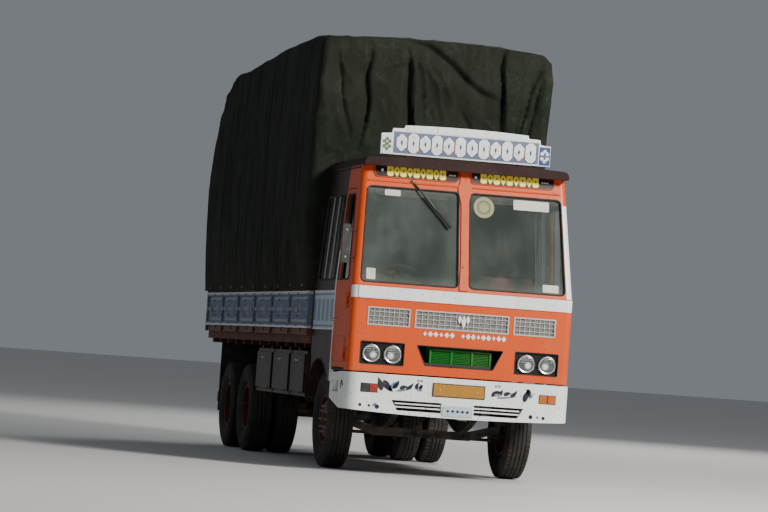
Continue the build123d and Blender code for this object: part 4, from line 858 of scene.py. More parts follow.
def camera_axes():
    """Right, up and forward of the photograph's camera, turned to the middle of the truck."""
    yaw, pitch, roll = (radians(angle) for angle in (CAMERA_YAW, CAMERA_PITCH, CAMERA_ROLL))
    level = Vector((sin(yaw), cos(yaw), 0.0))
    across = Vector((cos(yaw), -sin(yaw), 0.0))
    forward = level * cos(pitch) + Vector((0, 0, 1)) * sin(pitch)
    top = Vector((0, 0, 1)) * cos(pitch) - level * sin(pitch)
    right = across * cos(roll) + top * sin(roll)
    up = top * cos(roll) - across * sin(roll)
    forward = forward * PHOTO_FOCAL + right * (AIM_PIXEL[0] - PHOTO_MIDDLE[0])
    forward = (forward - up * (AIM_PIXEL[1] - PHOTO_MIDDLE[1])).normalized()
    right = (right - forward * right.dot(forward)).normalized()
    return right, right.cross(forward), forward


def soft_light(name, place, target, size, power, tint):
    """A round light that shines on a target."""
    lamp = bpy.data.lights.new(name, "AREA")
    lamp.shape = "DISK"
    lamp.size = size
    lamp.energy = power
    lamp.color = tint
    thing = bpy.data.objects.new(name, lamp)
    thing.location = place
    thing.rotation_euler = (Vector(target) - Vector(place)).to_track_quat("-Z", "Y").to_euler()
    bpy.context.scene.collection.objects.link(thing)


# Soft lights: name, place, target, width, power, tint
LIGHTS = (
    ("key", (12.0, -21.0, 13.0), (0.0, -3.0, 2.6), 6.0, 9000.0, (1.0, 0.96, 0.9)),
    ("fill", (-16.0, -16.0, 7.0), (0.0, -2.0, 2.0), 9.0, 60.0, (0.88, 0.94, 1.0)),
    ("rim", (10.0, 20.0, 12.0), (0.0, 2.0, 3.0), 8.0, 1900.0, (1.0, 0.98, 0.95)),
)
FLOOR_RADIUS = 240.0
FLOOR_SIDES = 64


class TRUCK_OT_stage(Operator):
    """Adds the pale floor, the soft lights and the camera at the photograph's viewing angle"""
    bl_idname = "truck.stage"
    bl_label = "Stage, lights and camera"

    def execute(self, context):
        f = Finish("floor")
        grain = f.noise(3.0, 4.0, 0.6)
        concrete = f.surface(f.mix(grain * 0.1, (0.62, 0.61, 0.59), (0.5, 0.49, 0.47)), grain * 0.1 + 0.75,
                             f.noise(60.0, 3.0, 0.6), 0.001)
        floor = Piece("floor")
        ring = [(FLOOR_RADIUS * cos(a), FLOOR_RADIUS * sin(a), GROUND_Z) for a in turns(FLOOR_SIDES)]
        floor.form(ring, [tuple(range(FLOOR_SIDES))], concrete)
        floor.done(None)
        for light in LIGHTS:
            soft_light(*light)
        world = bpy.data.worlds.new("studio")
        world.use_nodes = True
        sky = world.node_tree.nodes["Background"]
        sky.inputs["Color"].default_value = (0.74, 0.8, 0.88, 1.0)
        sky.inputs["Strength"].default_value = 0.25
        context.scene.world = world
        right, up, forward = camera_axes()
        lens = bpy.data.cameras.new("camera")
        lens.sensor_width = SENSOR
        lens.lens = PHOTO_FOCAL * ZOOM / PHOTO_WIDTH * SENSOR
        lens.clip_end = 600.0
        camera = bpy.data.objects.new("camera", lens)
        turn = Matrix((right, up, -forward)).transposed().to_4x4()
        camera.matrix_world = Matrix.Translation(CAMERA_PLACE) @ turn
        context.scene.collection.objects.link(camera)
        context.scene.camera = camera
        return {"FINISHED"}


class TRUCK_OT_node_finishes(Operator):
    """Gives every CAD piece its aged paint, timber, rubber, metal or glass"""
    bl_idname = "truck.node_finishes"
    bl_label = "Finishes of the CAD pieces"

    def execute(self, context):
        wheels = " ".join(f"wheel_{name}_{side}" for name, _, _ in WHEELS for side, _ in SIDES)
        for material, names in (
            (orange_enamel(), "cab_front"),
            (door_enamel(), "door_left door_right"),
            (side_enamel(), "cab_sides cab_back"),
            (roof_enamel(), "cab_roof"),
            (enamel("maroon"), "side_boxes tanks"),
            (enamel("white"), "sign_board bumper"),
            (enamel("green"), "radiator"),
            (band_enamel(), "side_boards tailgate"),
            (chassis_paint(), "chassis_frame tow_jaw rear_bar leaf_springs tarp_hoops cab_floor"),
            (oily_iron(), "engine propeller_shaft front_axle drive_axle tag_axle"),
            (oily_iron(), "knuckle_left knuckle_right track_rod"),
            (timber("timber", "x"), "deck_bearers headboard"),
            (timber("deck", "y"), "deck_floor"),
            (timber("timber", "y"), "dashboard"),
            (steel("grille_metal"), "grilles"),
            (lamp_glass(), "headlamps"),
            (window_glass(), "cab_glass"),
            (black_rubber(), "mudflaps"),
            (plastic("mirror_shell"), "mirror"),
            (plastic("wheel_rim"), "steering_wheel"),
            (quilted_cover(), "engine_cover"),
            (wheel_enamel(), wheels),
        ):
            dress(material, *names.split())
        return {"FINISHED"}


# Front of the cab

# Boards over the windscreen: limits, corner, thickness and their row of ornament
HEADER_X = (0.068, 0.962)
HEADER_Z = (3.086, 3.228)
HEADER_CORNER = 0.045
HEADER_THICK = 0.008
HEADER_BORDER = 0.0045
HEADER_COUNT = 9
HEADER_PITCH = 0.07
MOULDING_Z = 3.042
MOULDING_RADIUS = 0.009
POST_HALF = 0.05
# Right half of the centre post's outline, from its foot to its head
POST_OUTLINE = ((POST_HALF, 1.955), (POST_HALF * 0.72, 2.2), (POST_HALF * 0.72, 2.85), (POST_HALF * 1.5, 3.02),
                (POST_HALF, 3.09), (POST_HALF, 3.235))


def on_screen(x, z, proud=0.0):
    """A point on the raked front, or proud of it."""
    normal = Vector((0.0, -1.0, SCREEN_SLOPE)).normalized()
    return Vector((x, screen_y(z), z)) + normal * proud


def screen_slab(piece, outline, low, high, material):
    """A thin plate on the raked front between two distances from it; the outline is (x, z)."""
    normal = Vector((0.0, -1.0, SCREEN_SLOPE)).normalized()
    piece.slab([on_screen(x, z, low) for x, z in outline], normal * (high - low), material)


def lozenge(x, z, half_width, half_height):
    return [(x - half_width, z), (x, z - half_height), (x + half_width, z), (x, z + half_height)]


def plaque(x, z, w, h, cut):
    """A rectangle of half-width w and half-height h with its corners cut off."""
    return [(x - w + cut, z - h), (x + w - cut, z - h), (x + w, z - h + cut), (x + w, z + h - cut),
            (x + w - cut, z + h), (x - w + cut, z + h), (x - w, z + h - cut), (x - w, z - h + cut)]


def disc_outline(x, z, radius, steps=20):
    return arc((x, z), radius, 0, 360 - 360 / steps, steps - 1)


class TRUCK_OT_header(Operator):
    """Adds the boards over the windscreen with their ornament, and the mouldings round them"""
    bl_idname = "truck.header"
    bl_label = "Boards over the windscreen"

    def execute(self, context):
        boards = Piece("header_boards")
        for side in (-1, 1):
            self.board(boards, side)
        boards.done("truck")
        self.mouldings()
        return {"FINISHED"}

    def board(self, boards, side):
        """One board: its border, a row of lozenges and plaques, a dot and three slanted marks."""
        maroon, orange, yellow, white = (enamel(name) for name in ("maroon", "orange", "yellow", "white"))
        outline = rounded(rectangle(sorted((side * HEADER_X[0], side * HEADER_X[1])), HEADER_Z), HEADER_CORNER)
        screen_slab(boards, outline, -0.002, HEADER_THICK, maroon)
        boards.tube([on_screen(x, z, HEADER_THICK) for x, z in outline], HEADER_BORDER, orange, 6, closed=True)
        middle = (HEADER_Z[0] + HEADER_Z[1]) / 2
        centre = side * 0.5 - 0.02
        for number in range(HEADER_COUNT):
            x = centre + (number - (HEADER_COUNT - 1) / 2) * HEADER_PITCH
            shape = lozenge(x, middle, 0.038, 0.064) if number % 2 else plaque(x, middle, 0.034, 0.059, 0.014)
            screen_slab(boards, shape, HEADER_THICK, 0.012, yellow)
            screen_slab(boards, lozenge(x, middle, 0.006, 0.018), 0.012, 0.0135, maroon)
        screen_slab(boards, disc_outline(centre - 0.365, middle, 0.014, 12), HEADER_THICK, 0.011, white)
        for number in range(3):
            x = centre + 0.345 + number * 0.026
            mark = [(x, middle - 0.008), (x + 0.018, middle - 0.008), (x + 0.02, middle + 0.004),
                    (x + 0.002, middle + 0.004)]
            screen_slab(boards, mark, HEADER_THICK, 0.011, white)

    def mouldings(self):
        """The level moulding over the panes and the centre post's cover."""
        orange = enamel("orange")
        mould = Piece("screen_mouldings")
        half = cab_half(MOULDING_Z) - 0.07
        mould.tube([on_screen(x, MOULDING_Z, 0.004) for x in spread(-half, half, 24)], MOULDING_RADIUS, orange)
        post = [*POST_OUTLINE, *((-x, z) for x, z in reversed(POST_OUTLINE))]
        screen_slab(mould, rounded(post, 0.02, 3), 0.0, 0.014, orange)
        mould.done("truck")


# Stickers: centre of the round one, its discs (radius, sides, low, high, finish) and the blank labels' limits
STICKER_CENTRE = (0.211, 2.852)
STICKER_DEPTH = -0.015
STICKER_DISCS = ((0.11, 36, -0.0014, -0.0004, "sticker_cream"), (0.076, 30, -0.0004, 0.0, "sticker_green"),
                 (0.052, 24, 0.0, 0.0004, "sticker_cream"))
LABELS = (((0.53, 0.912), (2.855, 2.959)), ((-0.849, -0.683), (2.901, 2.962)),
          ((0.85, 1.02), (2.01, 2.09)), ((-1.03, -0.935), (2.015, 2.13)))


class TRUCK_OT_windscreen(Operator):
    """Adds the windscreen's rubber, its wiper and blank stickers"""
    bl_idname = "truck.windscreen"
    bl_label = "Windscreen rubber, wiper and stickers"

    def execute(self, context):
        rubber = black_rubber()
        seals = Piece("windscreen_seals")
        for side in (-1, 1):
            corners = [(side * PANE_INNER_X, PANE_BOTTOM_Z), (side * PANE_OUTER_BOTTOM_X, PANE_BOTTOM_Z),
                       (side * PANE_OUTER_TOP_X, PANE_TOP_Z), (side * PANE_INNER_X, PANE_TOP_Z)]
            outline = rounded(corners, sizes().corner, 6)
            for proud, sides in ((0.001, 8), (-0.018, 6)):
                path = [on_screen(x, z, proud) for x, z in outline]
                seals.tube(path, sizes().seal, rubber, sides, closed=True)
        seals.done("truck")
        self.wiper()
        self.stickers()
        return {"FINISHED"}

    def wiper(self):
        """The driver's wiper, hung from the header: an arm, a spring tube and a blade."""
        black = plastic("wiper_black")
        metal = steel("wiper_steel")
        wiper = Piece("wiper")
        pivot = on_screen(-0.557, 3.055, 0.012)
        tip = on_screen(-0.165, 2.615, 0.02)
        wiper.lathe([(-0.006, 0.02), (0.012, 0.02), (0.022, 0.012), (0.03, 0.006)], pivot,
                    (0.0, -1.0, SCREEN_SLOPE), metal, 16)
        knee = pivot.lerp(tip, 0.45) + Vector((0, -0.01, 0))
        wiper.tube([pivot, pivot.lerp(knee, 0.5) + Vector((0, -0.004, 0)), knee, pivot.lerp(tip, 0.68)],
                   0.01, black, 8)
        near, far = (pivot + (tip - pivot) * share for share in (0.32, 1.04))
        wiper.tube([near.lerp(far, k / 8) for k in range(9)], 0.013, black, 6)
        wiper.tube([near.lerp(far, k / 8) + Vector((0, -0.008, 0)) for k in range(1, 8)], 0.004, metal, 6)
        wiper.done("truck")

    def stickers(self):
        """Blank stickers inside the glass."""
        stickers = Piece("stickers")
        for radius, steps, low, high, name in STICKER_DISCS:
            outline = disc_outline(*STICKER_CENTRE, radius, steps)
            screen_slab(stickers, outline, STICKER_DEPTH + low, STICKER_DEPTH + high, plastic(name))
        for limits in LABELS:
            outline = rounded(rectangle(*limits), 0.012, 3)
            screen_slab(stickers, outline, STICKER_DEPTH - 0.0014, STICKER_DEPTH, plastic("sticker_white"))
        stickers.done("truck")


# Section of a headlamp's bezel: distance out of the recess, how far past the lamp's radius
BEZEL = ((0.0, 0.004), (0.012, 0.008), (0.024, 0.004), (0.028, -0.004), (0.026, -0.01), (0.02, -0.011))
BEZEL_SIDES = 40
LAMP_BACK = 0.092


class TRUCK_OT_lamps(Operator):
    """Adds the bezels and screws of the headlamps and the rubber round their recesses"""
    bl_idname = "truck.lamps"
    bl_label = "Headlamp trims"

    def execute(self, context):
        chrome = steel("lamp_chrome")
        lamps = Piece("headlamp_rims")
        low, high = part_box("headlamps")
        centre_z = (low.z + high.z) / 2
        radius = (high.z - low.z) / 2
        back = at(LAMP_BACK)
        profile = [(out, radius + past) for out, past in BEZEL]
        for x in (side * x for x in LAMP_X for side in (-1, 1)):
            self.bezel(lamps, profile, (x, back, centre_z), chrome)
            for screw_x, screw_z in arc((x, centre_z), radius + 0.006, 90, 330, 2):
                lamps.lathe([(0.0, 0.008), (0.006, 0.008), (0.009, 0.004)], (screw_x, back - 0.012, screw_z),
                            FORWARD, chrome, 8)
        lamps.done("truck")
        edges = Piece("front_recess_rubbers")
        inner, outer = LAMP_RECESS_X
        half_low, half_high = INTAKE_HALF
        openings = ((inner, outer, LAMP_RECESS_Z, 0.0), (-outer, -inner, LAMP_RECESS_Z, 0.0),
                    (-half_high, half_high, INTAKE_Z, half_high - half_low))
        for left, right, (bottom, top), lean in openings:
            corners = [(left + lean, bottom), (right - lean, bottom), (right, top), (left, top)]
            outline = rounded(corners, 0.012, 3)
            edges.tube([(x, FACE_Y - 0.001, z) for x, z in outline], 0.005, black_rubber(), 6, closed=True)
        edges.done("truck")
        return {"FINISHED"}

    def bezel(self, piece, profile, centre, material):
        """An open turned ring: the profile runs round its section."""
        rows = [[(centre[0] + radius * cos(a), centre[1] - out, centre[2] + radius * sin(a))
                 for a in turns(BEZEL_SIDES)] for out, radius in [*profile, profile[0]]]
        piece.grid(rows, material, wrap=True)


# Grilles: x limits of their openings, the wires' spacing and the frame's overlap
GRILLE_OPENINGS = ((-0.486, 0.486), (0.564, 0.986), (-0.986, -0.564))
MESH_PITCH = 0.0085
MESH_MARGIN = 0.01
# Badge's lozenges: x, height over the middle, half-width and half-height
BADGE = ((0.015, 0.0, 0.024, 0.072), (-0.028, 0.026, 0.022, 0.044), (0.058, 0.026, 0.022, 0.044))
# Two groups of marks under the grilles: first and last x, how many
MARKS = ((-0.385, -0.095, 6), (0.02, 0.455, 9))
MARKS_Z = 1.489
# Louvre frame in the intake: limits, its uprights and the number of slats
LOUVRES_X = (-0.31, 0.35)
LOUVRES_Z = (1.172, 1.338)
LOUVRE_BAR = 0.022
LOUVRE_COUNT = 7


class TRUCK_OT_grilles(Operator):
    """Adds the grilles' wire mesh, the ornaments on and below them and the louvres in the intake"""
    bl_idname = "truck.grilles"
    bl_label = "Grille mesh and badge"

    def execute(self, context):
        low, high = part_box("grilles")
        self.wires(low, high)
        white = enamel("white")
        badge = Piece("grille_badge")
        middle = (low.z + high.z) / 2
        for x, rise, wide, tall in BADGE:
            badge.plate(lozenge(x, middle + rise, wide, tall), low.y - 0.002, -0.006, white)
        for first, last, count in MARKS:
            for number, x in enumerate(spread(first, last, count - 1)):
                wide, tall = (0.027, 0.03) if number % 3 else (0.018, 0.024)
                badge.plate(lozenge(x, MARKS_Z, wide, tall), FACE_Y, -0.004, white)
        badge.done("truck")
        self.louvres()
        return {"FINISHED"}

    def wires(self, low, high):
        """Upright wires, and level ones in front of them, in each opening."""
        metal = steel("mesh_wire")
        mesh = Piece("grille_mesh")
        half = sizes().wire / 2
        y = low.y + 0.02
        bottom, top = low.z + MESH_MARGIN, high.z - MESH_MARGIN
        for left, right in GRILLE_OPENINGS:
            for x in spread(left, right, int((right - left) / MESH_PITCH)):
                mesh.box((x - half, y - half, bottom), (x + half, y + half, top), metal)
            for z in spread(bottom, top, int((top - bottom) / MESH_PITCH)):
                mesh.box((left, y - 3 * half, z - half), (right, y - half, z + half), metal)
        mesh.done("truck")

    def louvres(self):
        """Green frame with slats in front of the radiator."""
        green = enamel("green")
        louvres = Piece("intake_louvres")
        y = FACE_Y + 0.06
        (left, right), (low, high) = LOUVRES_X, LOUVRES_Z
        louvres.box((left, y, low), (right, y + 0.03, low + LOUVRE_BAR), green, 0.003)
        louvres.box((left + 0.03, y, high - 0.018), (right, y + 0.03, high), green, 0.003)
        for x in (left, -0.085, 0.135, right - LOUVRE_BAR):
            louvres.box((x, y - 0.004, low), (x + LOUVRE_BAR, y + 0.026, high), green, 0.003)
        for number in range(LOUVRE_COUNT):
            z = low + 0.03 + (high - low - 0.05) * number / LOUVRE_COUNT
            louvres.slab([(left, y + 0.004, z), (right, y + 0.004, z), (right, y + 0.024, z + 0.014),
                          (left, y + 0.024, z + 0.014)], (0, 0, 0.003), green)
        louvres.done("truck")


# Leaves of the bumper: root x and z, length, half-width, angle in degrees, curl, paint
LEAVES = (
    (-0.815, 0.87, 0.15, 0.021, 98, 20, "scroll"), (-0.8, 0.985, 0.165, 0.023, -62, 30, "scroll"),
    (-0.735, 0.87, 0.15, 0.016, 66, -30, "blue"), (-0.7, 0.905, 0.11, 0.015, 28, 50, "scroll"),
    (-0.625, 0.9, 0.095, 0.015, 42, -50, "scroll"), (-0.56, 0.905, 0.11, 0.013, 14, 60, "scroll"),
    (-0.67, 0.88, 0.18, 0.007, 4, 14, "blue"), (-0.44, 0.905, 0.085, 0.014, 120, -90, "scroll"),
    (-0.43, 0.895, 0.085, 0.014, 30, 90, "scroll"), (-0.375, 0.955, 0.06, 0.009, 200, 60, "blue"),
    (0.35, 0.885, 0.12, 0.016, 62, -60, "scroll"), (0.41, 0.9, 0.095, 0.014, 20, 70, "scroll"),
    (0.48, 0.905, 0.09, 0.015, 48, -60, "scroll"), (0.545, 0.905, 0.105, 0.014, 12, 60, "scroll"),
    (0.395, 0.878, 0.24, 0.007, 2, 10, "blue"), (0.7, 0.85, 0.15, 0.02, 84, -26, "scroll"),
    (0.715, 0.985, 0.095, 0.017, -24, -90, "scroll"), (0.745, 0.9, 0.07, 0.01, 20, 60, "blue"),
    (-0.9, 0.715, 0.06, 0.01, 10, 60, "blue"), (0.84, 0.7, 0.03, 0.01, 10, 60, "blue"),
)
LEAF_WIDENING = 1.45
# Leaves round the bumper's corners: station, z, length, half-width, angle, curl
FLANK_LEAVES = ((0.175, 0.88, 0.11, 0.02, 70, -50), (0.235, 0.96, 0.1, 0.018, -40, -60),
                (0.26, 0.86, 0.08, 0.012, 30, 60))
# Dots: x, z, radius
DOTS = ((-1.03, 0.715, 0.017), (-0.85, 0.705, 0.024), (-0.935, 0.712, 0.014), (0.78, 0.705, 0.022),
        (0.915, 0.7, 0.018))
PAINT_THICK = 0.003
PANEL_MARKS = 5
PANEL_MARK_PITCH = 0.052
# Limits in x and z of a pair of reflectors and of its inner and outer lens
REFLECTOR = ((0.852, 1.038), (0.846, 0.942))
REFLECTOR_LENSES = ((0.858, 0.942), (0.95, 1.032))
LENS_Z = (0.852, 0.936)


class TRUCK_OT_bumper(Operator):
    """Adds the blank plate and panel, the reflectors, the painted scrolls and the bolts of the bumper"""
    bl_idname = "truck.bumper"
    bl_label = "Bumper plate and reflectors"

    def execute(self, context):
        self.number_plate()
        self.panel()
        self.reflectors()
        self.scrolls()
        bolts = Piece("bumper_bolts")
        for x in (0.395, 0.43):
            for z in (0.905, 1.0):
                for side in (-1, 1):
                    bolt_head(bolts, (side * x, NOSE_Y, z), FORWARD, steel("bolt_zinc"))
        bolts.done("truck")
        return {"FINISHED"}

    def number_plate(self):
        """The blank plate in its frame, held by two screws."""
        plate = Piece("front_plate")
        black = plastic("plate_frame")
        plate.box((-0.28, NOSE_Y - 0.008, 0.848), (0.28, NOSE_Y - 0.001, 0.99), black, 0.002)
        plate.box((-0.268, NOSE_Y - 0.01, 0.858), (0.268, NOSE_Y - 0.007, 0.98), enamel("plate"), 0.001)
        for x in (-0.2, 0.2):
            plate.lathe([(0, 0.007), (0.003, 0.006), (0.005, 0.002)], (x, NOSE_Y - 0.01, 0.919), FORWARD,
                        steel("screw_zinc"), 10)
        plate.done("truck")

    def panel(self):
        """The blank panel under the plate, with a row of lozenges."""
        panel = Piece("bumper_panel")
        outline = rounded([(-0.165, 0.655), (0.165, 0.655), (0.15, 0.762), (-0.15, 0.762)], 0.015, 3)
        panel.plate(outline, NOSE_Y + 0.003, -0.014, enamel("pale_blue"))
        for number in range(PANEL_MARKS):
            x = (number - PANEL_MARKS // 2) * PANEL_MARK_PITCH
            panel.plate(lozenge(x, 0.708, 0.02, 0.016), NOSE_Y - 0.011, -PAINT_THICK, enamel("scroll"))
        panel.done("truck")

    def reflectors(self):
        """A pair of reflectors at each end."""
        reflectors = Piece("bumper_reflectors")
        black, red, amber = (plastic(name) for name in ("plate_frame", "reflector_red", "reflector_amber"))
        for side, lenses in ((-1, (red, black)), (1, (amber, amber))):
            back, low_high = REFLECTOR
            reflectors.block([side * x for x in back], (NOSE_Y - 0.003, NOSE_Y + 0.004), low_high, black, 0.003)
            for limits, lens in zip(REFLECTOR_LENSES, lenses):
                x = [side * end for end in limits]
                reflectors.block(x, (NOSE_Y - 0.009, NOSE_Y - 0.002), LENS_Z, lens, 0.003)
        reflectors.done("truck")

    def scrolls(self):
        """Painted leaves and dots on both sides of the plate and round the corners."""
        scrolls = Piece("bumper_scrolls")
        for x, z, length, half, angle, curl, name in LEAVES:
            outline = leaf(x, z, length, half * LEAF_WIDENING, angle, curl)
            scrolls.plate(outline, NOSE_Y + 0.001, -PAINT_THICK, enamel(name))
        for x, z, radius in DOTS:
            outline = disc_outline(x, z, radius, 16)
            scrolls.plate(outline, NOSE_Y + 0.001, -PAINT_THICK, enamel("scroll"))
        for side in (-1, 1):
            flank = side * (BUMPER_HIGH.x - 0.001)
            for station, *form in FLANK_LEAVES:
                outline = [(flank, y, z) for y, z in leaf(at(station), *form)]
                scrolls.slab(outline, (side * PAINT_THICK, 0, 0), enamel("scroll"))
        scrolls.done("truck")


def leaf(x, z, length, half_width, angle, curl, steps=9):
    """A painted leaf: pointed at its tip, bent by curl degrees along its length."""
    spine = [(x, z)]
    for k in range(1, steps + 1):
        heading = radians(angle + curl * (k - 0.5) / steps)
        x, z = x + length / steps * cos(heading), z + length / steps * sin(heading)
        spine.append((x, z))
    left, right = [], []
    for k in range(1, steps):
        across = radians(angle + curl * k / steps + 90)
        half = half_width * sin(pi * (k / steps) ** 0.7)
        dx, dz = half * cos(across), half * sin(across)
        left.append((spine[k][0] + dx, spine[k][1] + dz))
        right.append((spine[k][0] - dx, spine[k][1] - dz))
    return [spine[0], *right, spine[-1], *reversed(left)]


def bolt_head(piece, centre, axis, material, radius=None):
    """A hexagon head on its washer."""
    r = radius or sizes().bolt
    piece.lathe([(0.0, r * 1.35), (r * 0.2, r * 1.35)], centre, axis, material, 14)
    piece.lathe([(r * 0.2, r), (r * 0.8, r), (r * 1.0, r * 0.75)], centre, axis, material, 6)


# Roof board, in heights over its foot: field, plaques, crown and the two end flowers
SIGN_FIELD = ((-0.78, 0.78), (0.018, 0.24))
SIGN_MIDDLE = 0.13
SIGN_COUNT = 12
SIGN_PITCH = 0.126
PLAQUE_HALF = 0.056
CROWN_HALF = 0.64
CROWN_FOOT = 0.252
CROWN_TOP = 0.3
CROWN_RISE = 0.018
FLOWER_X = 0.848
FLOWER_Z = 0.108
FLOWER_FIELD_HALF = 0.058
FLOWER_FIELD_Z = (0.012, 0.203)
PETALS = 6


class TRUCK_OT_sign(Operator):
    """Adds the painted ornament of the roof board: lozenges in the middle, flowers at the ends"""
    bl_idname = "truck.sign"
    bl_label = "Roof board ornament"

    def execute(self, context):
        low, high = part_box("sign_board")
        white, blue = enamel("white"), enamel("blue")
        deep, red, green = (plastic(f"enamel_{name}") for name in ("deep_blue", "red", "green"))
        board = Piece("sign_ornament")

        def flat(outline, thick, material, start=0.0):
            """Paint on the board: heights over its foot, thickness, distance from its face."""
            board.plate([(x, low.z + z) for x, z in outline], low.y - start, -thick, material)
        flat(rectangle(*SIGN_FIELD), 0.002, blue)
        for number in range(SIGN_COUNT):
            x = (number - (SIGN_COUNT - 1) / 2) * SIGN_PITCH
            tall, bevel = (0.103, 0.034) if number % 2 else (0.09, 0.048)
            shadow = plaque(x + 0.008, SIGN_MIDDLE - 0.008, PLAQUE_HALF, tall, bevel)
            flat(shadow, 0.003, red if number % 3 == 1 else deep, 0.002)
            flat(plaque(x, SIGN_MIDDLE, PLAQUE_HALF, tall, bevel), 0.004, white, 0.005)
            flat(lozenge(x, SIGN_MIDDLE, 0.012, 0.036), 0.002, deep, 0.009)
        curve = [(CROWN_HALF * k / 8, CROWN_TOP + CROWN_RISE * (1 - (k / 8) ** 2)) for k in range(-8, 9)]
        flat([(-CROWN_HALF, CROWN_FOOT), *curve, (CROWN_HALF, CROWN_FOOT)], 0.006, white)
        for side, field, petals, heart in ((-1, white, green, red), (1, deep, white, blue)):
            x = side * FLOWER_X
            flat(rectangle((x - FLOWER_FIELD_HALF, x + FLOWER_FIELD_HALF), FLOWER_FIELD_Z), 0.002, field)
            for number in range(PETALS):
                angle = radians(number * 60 + 30)
                centre = (x + 0.033 * cos(angle), FLOWER_Z + 0.052 * sin(angle))
                flat(disc_outline(*centre, 0.019, 14), 0.003, petals, 0.002)
            flat(disc_outline(x, FLOWER_Z, 0.018, 14), 0.006, heart, 0.002)
        edge = Piece("sign_edge")
        for half, z in ((high.x - 0.01, low.z + 0.006), (0.785, low.z + 0.246)):
            edge.box((-half, low.y - 0.005, z - 0.004), (half, low.y, z + 0.004), white, 0.001)
        board.done("truck")
        edge.done("truck")
        return {"FINISHED"}


# Doors, mirror and cab sides

# Door: stations of its window and of the vent's bar, limits of its lower pressing
DOOR_WINDOW = (0.325, 0.915)
VENT_BAR = 0.585
DOOR_PRESSING = ((0.33, 0.93), (1.14, 1.4))
LOCK = (0.93, 1.49)
HANDLE_Z = 1.572
# Steps: stations, number of slats and their spacing
STEP_STATIONS = (0.4, 0.8)
STEP_SLATS = 5
STEP_PITCH = 0.014


class TRUCK_OT_doors(Operator):
    """Adds handles, window rubbers, vent panes and pressings to both doors, and the steps below them"""
    bl_idname = "truck.doors"
    bl_label = "Door fittings"

    def execute(self, context):
        rubber = black_rubber()
        chrome = steel("handle_chrome")
        for side, mark in SIDES:
            fittings = Piece(f"door_fittings_{side}")
            (front, rear), (bottom, top) = DOOR_WINDOW, WINDOW_Z
            corners = [(front + (bottom - BELT_Z) * SCREEN_SLOPE, bottom), (rear, bottom), (rear, top),
                       (front + (top - BELT_Z) * SCREEN_SLOPE, top)]
            outline = rounded(corners, 0.035, 4)
            fittings.tube([on_side(mark, s, z, 0.001) for s, z in outline], 0.009, rubber, 6, closed=True)
            bar = [(VENT_BAR - 0.03, bottom), (VENT_BAR, top)]
            fittings.tube([on_side(mark, s, z, -0.014) for s, z in bar], 0.011, chrome, 8)
            pane = [corners[0], *bar, corners[3]]
            fittings.slab([on_side(mark, s, z, -0.021) for s, z in pane], (mark * 0.005, 0, 0), vent_glass())
            handle = ((0.8, 0.0), (0.8, 0.035), (0.92, 0.035))
            fittings.tube([on_side(mark, s, HANDLE_Z, proud) for s, proud in handle], 0.007, chrome)
            fittings.lathe([(0, 0.016), (0.004, 0.016), (0.007, 0.01)], on_side(mark, *LOCK), (mark, 0, 0),
                           chrome, 16)
            pressing = rounded(rectangle(*DOOR_PRESSING), 0.05, 4)
            fittings.tube([on_side(mark, s, z) for s, z in pressing], 0.006, enamel("orange"), 6, closed=True)
            fittings.done(f"{side}_door")
        steps = Piece("cab_steps")
        tread = steel("step_steel")
        front, rear = STEP_STATIONS
        for side, mark in SIDES:
            for number in range(STEP_SLATS):
                x = mark * (1.1 + number * STEP_PITCH)
                steps.block((x - 0.003, x + 0.003), (at(front), at(rear)), (0.77, 0.786), tread, 0.001)
            for station in (front + 0.01, rear - 0.01):
                steps.block((mark * 1.09, mark * 1.165), (at(station - 0.006), at(station + 0.006)),
                            (0.762, 0.794), tread, 0.001)
        steps.done("truck")
        return {"FINISHED"}


MIRROR_HALF = 0.036
MIRROR_Z = (2.168, 2.552)


class TRUCK_OT_mirror(Operator):
    """Adds the mirror's glass, its rim and the clamps on its arms"""
    bl_idname = "truck.mirror"
    bl_label = "Mirror glass and clamps"

    def execute(self, context):
        rubber = black_rubber()
        mirror = Piece("mirror_glass")
        x = -(CAB_HALF + 0.095)
        rear = at(0.15)
        outline = rounded(rectangle((x - MIRROR_HALF, x + MIRROR_HALF), MIRROR_Z), 0.012, 3)
        mirror.plate(outline, rear, 0.002, steel("mirror_silver"))
        mirror.tube([(px, rear + 0.002, pz) for px, pz in outline], 0.003, rubber, 6, closed=True)
        for z in (2.22, 2.5):
            mirror.lathe([(-0.016, 0.016), (0.016, 0.016)], (x + 0.034, rear - 0.004, z), (1, 0, 0), rubber, 12)
            bolt_head(mirror, (x, at(0.12), z), FORWARD, steel("bolt_zinc"), 0.008)
        mirror.done("truck")
        return {"FINISHED"}


# Cab sides: stations of the quarter window, its guard bars, the gutter and the band; radius of the arch's edge
QUARTER_WINDOW = (1.118, 2.0)
GUARD_BARS = (1.41, 1.7)
GUTTER = (0.5, 2.1)
GUTTER_Z = 3.178
CAB_BAND = (1.02, 2.125)
ARCH_RADIUS = 0.648
ARCH_FOOT_Z = 0.935


